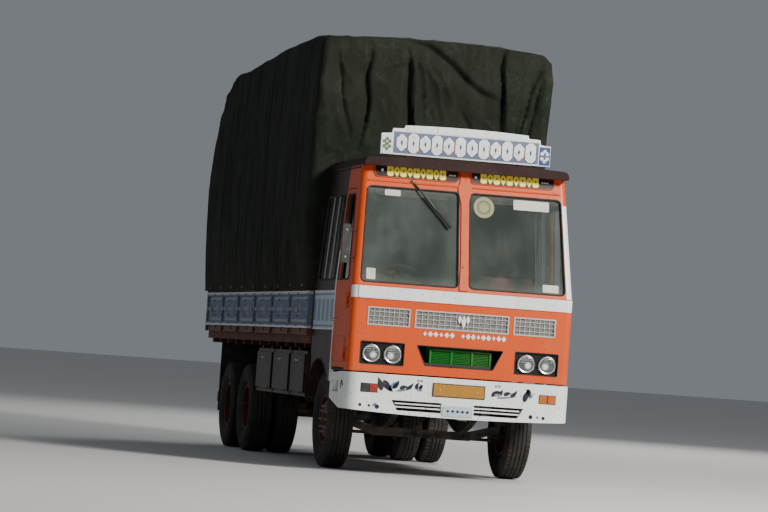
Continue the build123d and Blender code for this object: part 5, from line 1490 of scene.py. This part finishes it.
class TRUCK_OT_cab_trim(Operator):
    """Adds gutters, quarter window rubbers, guard bars, arch edges and the band's mouldings"""
    bl_idname = "truck.cab_trim"
    bl_label = "Cab side trim"

    def execute(self, context):
        trim = Piece("cab_trim")
        maroon, white = enamel("maroon"), enamel("white")
        window = rounded(rectangle(QUARTER_WINDOW, WINDOW_Z), 0.04, 4)
        for side in (-1, 1):
            trim.tube([on_side(side, s, z, 0.001) for s, z in window], 0.01, black_rubber(), 6, closed=True)
            for station in GUARD_BARS:
                trim.tube([on_side(side, station, z, -0.004) for z in WINDOW_Z], 0.009, steel("guard_bar"), 8)
            trim.tube([on_side(side, s, GUTTER_Z, 0.006) for s in spread(*GUTTER, 12)], 0.01, maroon, 8)
            for z in (BAND_LOW_Z, BAND_HIGH_Z):
                trim.tube([on_side(side, s, z) for s in CAB_BAND], 0.008, white, 6)
            arch = arc((at(WHEELS[0][2]), TYRE_RADIUS), ARCH_RADIUS, 40, 140, 24)
            trim.tube([(side * (CAB_HALF + 0.001), y, z) for y, z in arch if y > at(1.0) and z > ARCH_FOOT_Z],
                      0.008, maroon, 6)
        trim.done("truck")
        return {"FINISHED"}


# Inside of the cab

PAD_VOXEL = 0.018
PAD_INSET = 0.02
# Most that stuffing may move a place, depth and width of a sewn channel
PAD_SWELL = 0.009
CHANNEL_DEPTH = 0.01
CHANNEL_WIDTH = 0.07
SEAT_BASE = 1.5603
SEAT_TOP = 1.67
BACK_BASE = 1.6705
BACK_TOP = 2.18
# Pads: name, x limits, station limits, z limits, channels across them
PADS = (
    ("driver_cushion", (-1.0, -0.44), (1.06, 1.48), (SEAT_BASE, SEAT_TOP), 4),
    ("driver_back", (-1.0, -0.44), (1.4, 1.51), (BACK_BASE, BACK_TOP), 4),
    ("mate_cushion", (0.46, 1.08), (1.06, 1.48), (SEAT_BASE, SEAT_TOP), 4),
    ("mate_back", (0.46, 1.08), (1.4, 1.51), (BACK_BASE, BACK_TOP), 4),
    ("bench_cushion", (-1.08, 1.08), (1.74, 2.088), (SEAT_BASE, SEAT_TOP), 12),
)


def cushion(name, low, high, channels):
    """A stuffed pad: a rounded block blown up a little, with sewn channels across it."""
    low, high = Vector(low), Vector(high)
    start = bmesh.new()
    bmesh.ops.create_cube(start, size=1.0)
    for vert in start.verts:
        vert.co = Vector(((a + b) / 2 + place * (b - a - PAD_INSET) for a, b, place in zip(low, high, vert.co)))
    mesh = bpy.data.meshes.new(name)
    start.to_mesh(mesh)
    start.free()
    pad = bpy.data.objects.new(name, mesh)
    bpy.context.scene.collection.objects.link(pad)
    remesh = pad.modifiers.new("voxels", "REMESH")
    remesh.mode = "VOXEL"
    remesh.voxel_size = PAD_VOXEL
    pad.modifiers.new("round", "SMOOTH").iterations = 6
    apply_modifiers(pad)
    rest = [vert.co.copy() for vert in pad.data.vertices]
    inflate(pad)
    up = Vector((0, 0, 1))
    for vert, before in zip(pad.data.vertices, rest):
        move = vert.co - before
        if move.length > PAD_SWELL:
            move *= PAD_SWELL / move.length
        point = before + move
        share = (point.x - low.x) / (high.x - low.x) * channels
        seam = abs(share - round(share))
        dent = CHANNEL_DEPTH * exp(-(seam / CHANNEL_WIDTH) ** 2) if 0.3 < share < channels - 0.3 else 0.0
        vert.co = point - up * dent * max(0.0, vert.normal.dot(up))
        for axis in range(3):
            vert.co[axis] = min(max(vert.co[axis], low[axis]), high[axis])
    subdivide = pad.modifiers.new("smooth", "SUBSURF")
    subdivide.levels = subdivide.render_levels = 1
    apply_modifiers(pad)
    pad.data.materials.append(seat_cover())
    pad.data.polygons.foreach_set("use_smooth", [True] * len(pad.data.polygons))
    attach(pad, "truck")
    return pad


def inflate(pad):
    """Blows the pad up for a moment as cloth under pressure."""
    cloth = pad.modifiers.new("stuffing", "CLOTH")
    cloth.settings.use_pressure = True
    cloth.settings.uniform_pressure_force = 4.0
    cloth.settings.effector_weights.gravity = 0.0
    cloth.settings.quality = 4
    scene = bpy.context.scene
    for number in range(1, 21):
        scene.frame_set(number)
    apply_modifiers(pad)
    scene.frame_set(1)


def apply_modifiers(thing):
    """Turns what the modifiers make into the mesh itself."""
    graph = bpy.context.evaluated_depsgraph_get()
    mesh = bpy.data.meshes.new_from_object(thing.evaluated_get(graph))
    thing.modifiers.clear()
    thing.data = mesh


class TRUCK_OT_seats(Operator):
    """Adds the stuffed seats and the bench in place of their plain blocks"""
    bl_idname = "truck.seats"
    bl_label = "Seats"

    def execute(self, context):
        made = [cushion(name, (x[0], at(s[0]), z[0]), (x[1], at(s[1]), z[1]), channels)
                for name, x, s, z, channels in PADS]
        for pad in made:
            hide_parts("seats")
        return {"FINISHED"}


# Dials, pedals, gear lever with its knob, sun blinds and headlining
DIALS_X = (-0.76, -0.66, -0.56)
DIAL_FACING = (0, 0.95, 0.3)
PEDALS_X = (-0.8, -0.66, -0.54)
LEVER = ((-0.32, 1.02, 1.5), (-0.33, 0.98, 1.62), (-0.36, 0.96, 1.74))
BLIND_X = (0.14, 0.92)
BLIND_Z = (2.9, 3.03)
LINING_X = (-1.03, 1.03)
LINING_STATIONS = (0.52, 2.06)
LINING_Z = (3.192, 3.198)


class TRUCK_OT_cab_inside(Operator):
    """Adds the dials, levers, pedals, sun blinds and headlining"""
    bl_idname = "truck.cab_inside"
    bl_label = "Inside of the cab"

    def execute(self, context):
        inside = Piece("cab_fittings")
        black, pale, lining = (plastic(name) for name in ("dial_black", "dial_pale", "lining"))
        metal = steel("lever_steel")
        for x in DIALS_X:
            spot = (x, at(0.372), 1.985)
            inside.lathe([(-0.01, 0.044), (0.008, 0.044), (0.01, 0.038)], spot, DIAL_FACING, black, 24)
            inside.lathe([(0.009, 0.036), (0.0095, 0.036)], spot, DIAL_FACING, pale, 24)
        inside.tube([(x, at(station), z) for x, station, z in LEVER], 0.011, metal)
        inside.lathe([(0, 0.012), (0.012, 0.028), (0.04, 0.026), (0.052, 0.01)], (-0.36, at(0.96), 1.735),
                     (-0.1, -0.1, 1), black, 16)
        for x in PEDALS_X:
            inside.block((x - 0.035, x + 0.035), (at(0.47), at(0.482)), (1.26, 1.345), black, 0.003)
            inside.tube([(x, at(0.476), 1.3), (x, at(0.44), 1.25), (x, at(0.43), 1.192)], 0.008, metal)
        for side in (-1, 1):
            inside.block([side * x for x in BLIND_X], (at(0.475), at(0.487)), BLIND_Z, lining, 0.004)
        inside.block(LINING_X, [at(station) for station in LINING_STATIONS], LINING_Z, lining, 0.001)
        inside.done("truck")
        return {"FINISHED"}


# Tyres and wheels

def arc_through(a, b, c, steps):
    """Points on the arc through three (x, radius) points."""
    (ax, ay), (bx, by), (cx, cy) = a, b, c
    double = 2 * (ax * (by - cy) + bx * (cy - ay) + cx * (ay - by))
    far_a, far_b, far_c = (x * x + y * y for x, y in (a, b, c))
    middle_x = (far_a * (by - cy) + far_b * (cy - ay) + far_c * (ay - by)) / double
    middle_y = (far_a * (cx - bx) + far_b * (ax - cx) + far_c * (bx - ax)) / double
    radius = hypot(ax - middle_x, ay - middle_y)
    first, middle, last = (atan2(y - middle_y, x - middle_x) for x, y in (a, b, c))
    while middle < first:
        middle += tau
    while last < first:
        last += tau
    if middle > last:
        last -= tau
    return [(middle_x + radius * cos(angle), middle_y + radius * sin(angle))
            for angle in spread(first, last, steps)]


# Tyre's section: half-width, shoulder, crown, bead and heel
TYRE_HALF = 0.139
SHOULDER_X = 0.111
CROWN = 0.505
BEAD = 0.254
HEEL_X = 0.088
HEEL_LIP = 0.272
# Middles of the grooves: across the driven tyres' lugs, round the others
LUG_GROOVES = (0.0, 0.044)
RIB_GROOVES = (0.022, 0.066)
LUG_CUT = 0.01
BLOCK_CUT = 0.007
ZIGZAG = (-0.004, 0.0, 0.004, 0.0)
WALL_STEPS = 18
WALL_RIBS = (6, 7, 15)
WALL_RIB_HEIGHT = 0.0018


def tyre_profile(lugs):
    """Half of the section, from the tread's middle outwards: x, radius, how the column is cut."""
    depth = sizes().tread
    wide = sizes().groove
    grooves = LUG_GROOVES if lugs else RIB_GROOVES

    def top(x):
        return CROWN + (TYRE_RADIUS - CROWN) * (1 - (x / SHOULDER_X) ** 2)
    marks = []
    for groove in grooves:
        if groove:
            marks += [(groove - wide, 0.0), (groove - wide * 0.6, depth)]
        marks += [(groove + wide * 0.6, depth), (groove + wide, 0.0)]
    columns = [(x, top(x) - cut, "wave") for x, cut in marks]
    for number, x in enumerate(spread(grooves[-1] + wide + 0.004, SHOULDER_X, 3)):
        columns.append((x, top(x), "lug" if number else "block"))
    widest = (TYRE_HALF, (BEAD + TYRE_RADIUS) / 2)
    sidewall = arc_through((SHOULDER_X, CROWN), widest, (HEEL_X, HEEL_LIP), WALL_STEPS)
    for number, (x, radius) in enumerate(sidewall[1:], 1):
        rib = WALL_RIB_HEIGHT if number in WALL_RIBS else 0.0
        columns.append((x + rib, radius, "lug" if number < 3 else "wall"))
    return [*columns, (HEEL_X, BEAD + 0.003, "wall"), (HEEL_X - 0.02, BEAD + 0.001, "wall")]


def tyre_rows(centre_x, y, lugs):
    """Rings of points round a tyre, its grooves zigzag and its shoulders notched."""
    half = tyre_profile(lugs)
    section = [(-x, r, cut) for x, r, cut in reversed(half)] + half
    steps = sizes().tread_blocks * 4
    rows = []
    for x, radius, cut in section:
        late = 2 if x < 0 else 0
        row = []
        for step in range(steps):
            angle = tau * step / steps
            place, r = x, radius
            notch = (step + late) % 4 == 0
            if cut == "wave":
                place += ZIGZAG[(step // 2) % 4] * 0.7 if lugs else ZIGZAG[step % 4]
            elif cut == "lug" and notch:
                r -= LUG_CUT
            elif cut == "block" and lugs and notch:
                r -= BLOCK_CUT
            row.append((centre_x + place, y + r * cos(angle), TYRE_RADIUS + r * sin(angle)))
        rows.append(row)
    return rows


class TRUCK_OT_tyres(Operator):
    """Adds the tyres with their grooves and shoulder notches in place of the plain ones"""
    bl_idname = "truck.tyres"
    bl_label = "Tyres"

    def execute(self, context):
        rubber = tyre_rubber()
        for name, x, station in WHEELS:
            for side, mark in SIDES:
                tyres = Piece(f"tyres_{name}_{side}")
                places = (x,) if name == "front" else (x - DUAL_SPACING / 2, x + DUAL_SPACING / 2)
                for place in places:
                    tyres.grid(tyre_rows(mark * place, at(station), name == "drive"), rubber, wrap=True)
                tyres.done(f"{name}_wheel_{side}", (f"tyre_{name}_{side}",), 40.0)
        return {"FINISHED"}


# Wheel fittings: how far out the nuts' seat and the hub's cap lie, on the front wheels and on the others
NUT_SEAT = {"front": 0.089, "drive": 0.015, "tag": 0.015}
CAP_FACE = {"front": 0.125, "drive": 0.11, "tag": 0.11}
NUT_COUNT = 10
NUT_CIRCLE = 0.142
CAP_BOLTS = 8
CAP_CIRCLE = 0.045
LOCK_RING = 0.263
# Valve: radius and distance out of its points
VALVE = ((0.232, 0.06), (0.205, 0.085), (0.175, 0.088))


class TRUCK_OT_wheel_trim(Operator):
    """Adds wheel nuts, lock rings, hub bolts and valves"""
    bl_idname = "truck.wheel_trim"
    bl_label = "Wheel nuts and rings"

    def execute(self, context):
        bright = steel("nut_steel")
        dark = chassis_paint()
        size = sizes().nut
        for name, x, station in WHEELS:
            rim = 0.0 if name == "front" else DUAL_SPACING / 2
            for side, mark in SIDES:
                trim = Piece(f"wheel_trim_{name}_{side}")
                outward = (mark, 0, 0)

                def turn(radius, angle, out):
                    """A place on the wheel: radius, angle from the front, distance out."""
                    a = radians(angle)
                    return Vector((mark * (x + out), at(station) + radius * cos(a),
                                   TYRE_RADIUS + radius * sin(a)))
                for number in range(NUT_COUNT):
                    spot = turn(NUT_CIRCLE, number * 360 / NUT_COUNT, NUT_SEAT[name])
                    trim.lathe([(0, size * 1.15), (0.004, size * 1.15)], spot, outward, bright, 14)
                    trim.lathe([(0.004, size), (0.022, size), (0.026, size * 0.8)], spot, outward, bright, 6)
                    trim.lathe([(0.026, size * 0.5), (0.04, size * 0.45)], spot, outward, bright, 8)
                for number in range(CAP_BOLTS):
                    spot = turn(CAP_CIRCLE, number * 360 / CAP_BOLTS + 20, CAP_FACE[name])
                    trim.lathe([(-0.002, 0.008), (0.006, 0.008), (0.008, 0.005)], spot, outward, dark, 6)
                ring = [turn(LOCK_RING, k * 7.5, rim + 0.098) for k in range(48)]
                trim.tube(ring, 0.0065, dark, 8, closed=True)
                trim.tube([turn(radius, 12, rim + out) for radius, out in VALVE], 0.005, bright, 6)
                trim.done(f"{name}_wheel_{side}")
        return {"FINISHED"}


# Load body

HEM_Z = 1.9
# Tarpaulin's ridge: station and height
TARP_TOP = ((2.15, 4.7), (2.9, 4.75), (4.7, 4.735), (6.4, 4.67), (7.3, 4.63), (7.9, 4.65),
            (8.5, 4.46), (8.96, 4.19), (9.2, 3.76))
TARP_HALF = 1.276
TARP_BULGE = 0.042
TARP_CROWN = 0.045
TARP_SHOULDER = 0.12
TARP_CORNER = 0.1
TARP_EDGE = 0.03
# Rings of its grid: below and above the middle of its sides, round the edge, over the top
SIDE_RINGS = (26, 62)
EDGE_RINGS = 8
TOP_RINGS = 26
# Steps along its outline: at the front and elsewhere
FRONT_STEP = 0.018
STEP = 0.036
HEM_RADIUS = 0.007
# Crumples of the front: how many in a metre
CRUMPLES = (2.3, 5.1, 9.7)
EYELET_STEP = 22
CAB_TOP_CLEAR_Z = 3.32
# Creases of the front sheet: depth, width and the x, z points that they pass; a negative depth stands out
FRONT_CREASES = (
    (1.0, 0.05, (-0.72, 4.57), (-0.765, 4.27), (-0.716, 4.0), (-0.8, 3.5)),
    (0.8, 0.045, (-0.3, 4.56), (-0.279, 4.15), (-0.246, 3.5)),
    (0.9, 0.07, (-0.42, 4.69), (-0.093, 4.63), (0.18, 4.46), (0.426, 4.234), (0.563, 4.163), (0.754, 4.1)),
    (1.0, 0.05, (0.765, 4.68), (0.743, 4.45), (0.77, 4.13), (0.79, 3.5)),
    (0.6, 0.04, (1.22, 4.57), (1.1, 4.26), (0.956, 3.6)),
    (0.5, 0.035, (1.24, 4.43), (1.153, 4.14), (1.066, 3.6)),
    (0.4, 0.035, (0.99, 4.1), (0.918, 3.6)),
    (-0.5, 0.035, (-0.255, 4.52), (-0.23, 4.15), (-0.2, 3.6)),
    (-0.4, 0.03, (-0.26, 4.56), (-0.148, 4.4), (-0.066, 3.9)),
    (-0.4, 0.035, (-0.2, 4.55), (0.044, 4.2), (0.153, 3.8)),
    (-0.3, 0.035, (0.0, 4.46), (0.235, 4.05)),
    (-0.5, 0.05, (-1.19, 4.58), (-1.22, 4.22), (-1.2, 3.9), (-1.14, 3.45)),
    (0.5, 0.04, (-1.1, 4.5), (-1.02, 4.03), (-0.9, 3.6)),
    (-0.3, 0.03, (-1.08, 4.42), (-0.86, 4.13)),
    (0.3, 0.035, (-0.667, 4.29), (-0.475, 4.38), (-0.31, 4.42)),
    (0.35, 0.04, (0.3, 4.0), (0.42, 3.8), (0.46, 3.5)),
)


def tarp_top(y):
    """Ridge height at a place along the truck."""
    station = min(max(y - NOSE_Y, TARP_TOP[0][0]), TARP_TOP[-1][0])
    for (s, z), (t, w) in zip(TARP_TOP, TARP_TOP[1:]):
        if station <= t:
            return z + (w - z) * (station - s) / (t - s)
    return TARP_TOP[-1][1]


def cover_height(x, y):
    """Height of the cover's top at a place: a low crown between rounded shoulders."""
    top = tarp_top(y)
    flat = TARP_HALF - TARP_SHOULDER
    away = abs(x)
    if away <= flat:
        return top - TARP_CROWN * (away / flat) ** 2
    over = min(away - flat, TARP_SHOULDER)
    return top - TARP_CROWN - TARP_SHOULDER + sqrt(TARP_SHOULDER ** 2 - over ** 2)


def crease(x, z, depth, width, *path):
    """One crease at a place of the front sheet: steep on one side, long on the other, fading at its ends."""
    x += 0.02 * noise.noise(Vector((z * 3.1, x * 2.0, width * 90.0)))
    nearest = inf
    for number, ((x1, z1), (x2, z2)) in enumerate(zip(path, path[1:])):
        dx, dz = x2 - x1, z2 - z1
        share = min(max(((x - x1) * dx + (z - z1) * dz) / (dx * dx + dz * dz), 0.0), 1.0)
        away = hypot(x - x1 - dx * share, z - z1 - dz * share)
        if away < nearest:
            nearest = away
            side = 1 if (x - x1) * dz - (z - z1) * dx > 0 else -1
            run = (number + share) / (len(path) - 1)
    fade = min(1.0, 0.25 + 3.0 * run, 0.35 + 3.0 * (1.0 - run))
    valley = max(0.0, 1.0 - nearest / (width * (2.2 if side > 0 else 0.75))) ** 1.6
    return -depth * fade * valley


def folds(place, u, height, seed):
    """Hanging folds: near-vertical ridges that wander and grow towards the hem."""
    lean = 0.1 * noise.noise(Vector((u * 0.9, height * 0.5, seed)))
    ridge = 0.0
    for scale, weight in ((3.1, 0.62), (6.7, 0.34), (13.0, 0.16)):
        value = noise.noise(Vector((u * scale + lean * scale, height * 0.22 * scale ** 0.5, seed + scale)))
        ridge += weight * (1.0 - 2.0 * abs(value)) ** 3
    broad = noise.noise(Vector((u * 1.1, height * 0.6, seed + 9.0))) * 0.5
    fine = noise.noise(Vector((place[0] * 17.0, place[1] * 17.0, place[2] * 13.0))) * 0.05
    return ridge - 0.35 + broad + fine


class TRUCK_OT_tarpaulin(Operator):
    """Adds the tarpaulin as one draped sheet with folds, in place of the plain cover"""
    bl_idname = "truck.tarpaulin"
    bl_label = "Tarpaulin"

    def execute(self, context):
        front = TARP_LOW.y + 0.012
        rear = TARP_HIGH.y - 0.012
        plan = self.plan(TARP_HALF, front, rear)
        # Hanging part: rings from the hem to the shoulder; then rings drawn in over the top to the ridge
        below, above = SIDE_RINGS
        shares = [0.5 * k / below for k in range(below)] + [0.5 + 0.5 * k / above for k in range(above + 1)]
        rows = [[self.hang(point, share) for point in plan] for share in shares]
        for ring in range(1, EDGE_RINGS + TOP_RINGS + 1):
            angle = min(ring / EDGE_RINGS, 1.0) * pi / 2
            inward = TARP_SHOULDER * (1 - cos(angle))
            flat = max(0.0, (ring - EDGE_RINGS) / TOP_RINGS)
            rows.append([self.over(point, inward, flat, front, rear) for point in plan])
        sheet = Piece("tarpaulin_sheet")
        sheet.grid(rows, canvas(), wrap=True)
        thing = sheet.done("truck", ("tarpaulin",), 60.0)
        self.hem(rows[0])
        return {"FINISHED"}

    def plan(self, half, front, rear):
        """The sheet's outline from above: place, outward direction and distance run."""
        outline = rounded(rectangle((-half, half), (front, rear)), TARP_CORNER, 7)
        points = []
        for k, (x, y) in enumerate(outline):
            nx, ny = outline[(k + 1) % len(outline)]
            step = FRONT_STEP if max(y, ny) < front + 0.2 else STEP
            pieces = max(1, round(hypot(nx - x, ny - y) / step))
            points += [(x + (nx - x) * j / pieces, y + (ny - y) * j / pieces) for j in range(pieces)]
        result = []
        run = 0.0
        for k, (x, y) in enumerate(points):
            before, after = points[k - 1], points[(k + 1) % len(points)]
            out = Vector((after[1] - before[1], before[0] - after[0], 0.0)).normalized()
            result.append((x, y, out, run))
            run += hypot(after[0] - x, after[1] - y)
        return result

    def hang(self, point, share):
        """A place on the hanging part, from the hem at 0 to the shoulder at 1."""
        x, y, out, run = point
        top = cover_height(x, y) - TARP_EDGE * abs(out.y)
        hem = HEM_Z + 0.045 * max(0.0, out.y) + 0.018 * noise.noise(Vector((run * 1.2, 0.0, 4.0)))
        z = hem + (top - hem) * share
        rise = (2 * z - top - hem) / (top - hem)
        shift = self.push(x, y, z, out, run) + TARP_BULGE * (1 - rise * rise) * abs(out.x)
        # The front corners hold a bulge at shoulder height
        corner = max(0.0, 1.0 - (y - TARP_LOW.y) / 1.2) * max(0.0, out.x) * max(0.0, 1.0 - abs(z - 4.35) / 0.6)
        return Vector((x, y, z)) + out * (shift + 0.045 * corner)

    def push(self, x, y, z, out, run):
        """How far the folds and creases move a hanging place outwards."""
        front = max(0.0, -out.y)
        if front > 0.5:
            crumple = sum((0.5 - abs(noise.noise(Vector((x * k, z * k * 0.7, k))))) / k for k in CRUMPLES)
            push = folds((x, y, z), run, z, 8.0) * sizes().fold * 0.16 + (crumple - 0.25) * 0.085
            push += sum(crease(x, z, *line) for line in FRONT_CREASES) * sizes().crease
            # The sheet keeps clear of the cab's back below the roof
            free = min(max((z - CAB_TOP_CLEAR_Z) / 0.15, 0.0), 1.0)
            return min(max(push, -0.006 - 0.11 * free), 0.006 + 0.035 * free)
        push = folds((x, y, z), run, z, 3.0) * sizes().fold * 0.62
        return min(max(push, -0.016 - 0.03 * max(0.0, out.y)), 0.034)

    def over(self, point, inward, flat, front, rear):
        """A place on the top: first round the edge, then towards the ridge."""
        x, y, out, run = point
        edge = Vector((x, y, 0.0)) - out * inward
        ridge = min(max(y, front + TARP_HALF * 0.8), rear - TARP_HALF * 0.55)
        place = edge.lerp(Vector((0.0, ridge, 0.0)), flat)
        z = cover_height(place.x, place.y)
        if inward < TARP_EDGE:
            turned = TARP_EDGE - sqrt(TARP_EDGE ** 2 - (TARP_EDGE - inward) ** 2)
            z -= turned * abs(out.y)
        fade = 1.0 - min(1.0, inward / TARP_SHOULDER + flat)
        place += out * self.push(x, y, z, out, run) * fade
        ripple = noise.noise(Vector((place.x * 2.3, place.y * 1.3, 5.0))) * 0.016
        ripple += (1.0 - 2.0 * abs(noise.noise(Vector((place.x * 3.0, place.y * 0.9, 15.0))))) ** 3 * 0.016
        return Vector((place.x, place.y, z + max(ripple, -0.014) * (1.0 - fade)))

    def hem(self, ring):
        """Doubled hem with eyelets."""
        brass = steel("eyelet_brass")
        hem = Piece("tarpaulin_hem")
        path = [point + Vector((0, 0, -0.002)) for point in ring[::3]]
        hem.tube(path, HEM_RADIUS, canvas(), 6, closed=True)
        for number in range(8, len(ring), EYELET_STEP):
            here, after = ring[number], ring[(number + 1) % len(ring)]
            run = (after - here).normalized()
            out = Vector((run.y, -run.x, 0.0))
            spot = here + Vector((0, 0, 0.035)) + out * 0.001
            hem.lathe([(-0.003, 0.016), (0.004, 0.016), (0.005, 0.01)], spot, out, brass, 12)
        hem.done("truck")


# Side boards: stations of the ribs' bolts, the hooks and the markers
RIBS = [2.245 + number * 0.57 for number in range(13)]
RIB_BOLTS_Z = (1.5, 1.6, 1.78, 1.85, 2.0, 2.2)
HOOKS = [2.545 + number * 0.575 for number in range(12)]
# A rope hook's points: distance out of the boards' face and height
HOOK = ((-0.018, 1.47), (0.004, 1.47), (0.012, 1.455), (0.006, 1.435), (-0.006, 1.43))
MARKERS = (2.75, 5.7, 8.7)


class TRUCK_OT_side_fittings(Operator):
    """Adds bolts, rope hooks, side markers and edge irons to the side boards"""
    bl_idname = "truck.side_fittings"
    bl_label = "Side board fittings"

    def execute(self, context):
        iron, amber = chassis_paint(), plastic("reflector_amber")
        fittings = Piece("side_fittings")
        face = BOARDS_HIGH.x
        for side in (-1, 1):
            for station in RIBS:
                for z in RIB_BOLTS_Z:
                    bolt_head(fittings, (side * (face - 0.001), at(station), z), (side, 0, 0), iron, 0.009)
            for station in HOOKS:
                fittings.tube([(side * (face + out), at(station), z) for out, z in HOOK], 0.006, iron, 6)
            for z in (BAND_LOW_Z + 0.008, BAND_HIGH_Z - 0.008):
                fittings.block((side * (face - 0.004), side * (face + 0.003)), (at(2.2), at(9.14)),
                               (z - 0.01, z + 0.01), enamel("white"), 0.002)
            for station in MARKERS:
                fittings.block((side * (face - 0.002), side * (face + 0.014)), (at(station), at(station + 0.1)),
                               (1.64, 1.69), amber, 0.005)
        fittings.done("truck")
        return {"FINISHED"}


# Rear: limits of a tail lamp, its frame and its lenses
TAIL_LAMP_X = (0.704, 1.026)
TAIL_LAMP_FRAME = 0.008
# Tailgate: how far its hinge barrels stand out past its boards; its latches, and its bolts' x and z
GATE_BARREL_REACH = 0.022
LATCH_X = 1.1
GATE_BOLTS = [(x, z) for z in (1.49, 1.845) for x in (0.16, 0.42, 0.68, 0.94)]
GATE_BOLTS += [(1.145, z) for z in (1.57, 1.66, 1.75)]


class TRUCK_OT_rear(Operator):
    """Adds tail lamps, the blank rear plate, and the latches and bolts of the tailgate"""
    bl_idname = "truck.rear"
    bl_label = "Rear lamps, plate and latches"

    def execute(self, context):
        self.lamps()
        self.latches()
        return {"FINISHED"}

    def lamps(self):
        """Two lamps of three lenses and the blank plate between them."""
        red, amber, clear = (plastic(name) for name in ("reflector_red", "reflector_amber", "lens_clear"))
        black = plastic("plate_frame")
        rear = Piece("tail_lamps")
        back = at(8.92)
        board = at(8.96)
        for side in (-1, 1):
            left, right = sorted(side * x for x in TAIL_LAMP_X)
            rear.box((left, board - 0.002, 0.534), (right, board + 0.006, 0.626), black, 0.003)
            width = (right - left - 2 * TAIL_LAMP_FRAME) / 3
            for number, lens in enumerate((clear, red, amber) if side > 0 else (amber, red, clear)):
                start = left + TAIL_LAMP_FRAME + number * width
                rear.box((start + 0.003, board + 0.004, 0.54), (start + width - 0.003, board + 0.026, 0.62),
                         lens, 0.006)
        rear.box((-0.275, back - 0.002, 0.52), (0.275, back + 0.006, 0.65), black, 0.002)
        rear.box((-0.265, back + 0.005, 0.528), (0.265, back + 0.008, 0.642), enamel("plate"), 0.001)
        rear.done("truck")

    def latches(self):
        """Latches with their hooks, and bolts over the tailgate's boards."""
        iron = chassis_paint()
        latches = Piece("gate_fittings")
        face = GATE_HIGH.y - GATE_BARREL_REACH
        for side in (-1, 1):
            x = side * LATCH_X
            latches.box((x - 0.045, face - 0.001, 1.822), (x + 0.045, face + 0.008, 1.872), iron, 0.003)
            latches.tube([(x - 0.06, face + 0.015, 1.847), (x + 0.06, face + 0.015, 1.847)], 0.009, iron, 10)
            hook = x + side * 0.03
            latches.tube([(hook, face + 0.015, 1.847), (hook, face + 0.026, 1.81), (hook, face + 0.024, 1.76)],
                         0.007, iron, 8)
            for bolt_x, z in GATE_BOLTS:
                bolt_head(latches, (side * bolt_x, face - 0.001, z), (0, 1, 0), iron, 0.009)
        latches.done("rear_gate")


# Lockers: side, first and last station; the face of their doors
LOCKERS = ((-1, 2.29, 3.18), (-1, 3.24, 4.28), (-1, 4.34, 5.36), (1, 4.42, 5.36))
LOCKER_FACE = 1.192
LOCKER_DOOR_Z = (0.77, 1.185)
# A locker handle's points: distance out and along
LOCKER_HANDLE = ((0.0, -0.05), (0.022, -0.05), (0.022, 0.05), (0.0, 0.05))


class TRUCK_OT_lockers(Operator):
    """Adds doors, handles, locks and hinges to the lockers, and the fuel tank's cap"""
    bl_idname = "truck.lockers"
    bl_label = "Locker and tank fittings"

    def execute(self, context):
        chrome = steel("handle_chrome")
        iron = chassis_paint()
        fittings = Piece("locker_fittings")
        for side, start, end in LOCKERS:
            face = side * LOCKER_FACE
            fittings.block((face - side * 0.001, face + side * 0.012), (at(start + 0.04), at(end - 0.04)),
                           LOCKER_DOOR_Z, enamel("maroon"), 0.004)
            spot = Vector((face + side * 0.012, at((start + end) / 2), 1.12))
            handle = [spot + Vector((side * out, along, 0)) for out, along in LOCKER_HANDLE]
            fittings.tube(handle, 0.006, chrome, 8)
            lock = spot + Vector((0, 0.09, 0))
            fittings.lathe([(0, 0.013), (0.004, 0.013), (0.006, 0.008)], lock, (side, 0, 0), chrome, 14)
            for station in (start + 0.18, end - 0.18):
                hinge = [(face + side * 0.014, at(station + along), 0.772) for along in (-0.04, 0.04)]
                fittings.tube(hinge, 0.008, iron, 8)
        fittings.done("truck")
        cap = Piece("fuel_cap")
        cap.lathe([(-0.02, 0.05), (0.02, 0.05), (0.028, 0.044), (0.032, 0.02)], (1.02, at(2.62), 1.165),
                  (0.35, 0, 1), iron, 28)
        cap.done("truck")
        return {"FINISHED"}


# Panel and add-on

BUILD_STEPS = (
    TRUCK_OT_stage, TRUCK_OT_node_finishes, TRUCK_OT_header, TRUCK_OT_windscreen, TRUCK_OT_lamps,
    TRUCK_OT_grilles, TRUCK_OT_bumper, TRUCK_OT_sign, TRUCK_OT_doors, TRUCK_OT_mirror, TRUCK_OT_cab_trim,
    TRUCK_OT_seats, TRUCK_OT_cab_inside, TRUCK_OT_tyres, TRUCK_OT_wheel_trim, TRUCK_OT_tarpaulin,
    TRUCK_OT_side_fittings, TRUCK_OT_rear, TRUCK_OT_lockers,
)


class TRUCK_PT_build(Panel):
    """Lists the truck's sizes, paints and build steps"""
    bl_idname = "TRUCK_PT_build"
    bl_label = "Goods truck"
    bl_space_type = "VIEW_3D"
    bl_region_type = "UI"
    bl_category = "Truck"

    def draw(self, context):
        scene = context.scene
        for group in (scene.truck_sizes, scene.truck_paint):
            box = self.layout.box()
            for key in group.__annotations__:
                box.prop(group, key)
        column = self.layout.column()
        for step in BUILD_STEPS:
            column.operator(step.bl_idname)


CLASSES = (TruckPaint, TruckSizes, *BUILD_STEPS, TRUCK_PT_build)


def register():
    for each in CLASSES:
        bpy.utils.register_class(each)
    Scene.truck_paint = PointerProperty(type=TruckPaint)
    Scene.truck_sizes = PointerProperty(type=TruckSizes)


def unregister():
    del Scene.truck_paint
    del Scene.truck_sizes
    for each in reversed(CLASSES):
        bpy.utils.unregister_class(each)


def main():
    """Registers the add-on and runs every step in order."""
    register()
    for step in BUILD_STEPS:
        group, name = step.bl_idname.split(".")
        if getattr(getattr(bpy.ops, group), name)() != {"FINISHED"}:
            raise RuntimeError(f"{step.bl_label} did not finish")


if __name__ == "__main__":
    main()
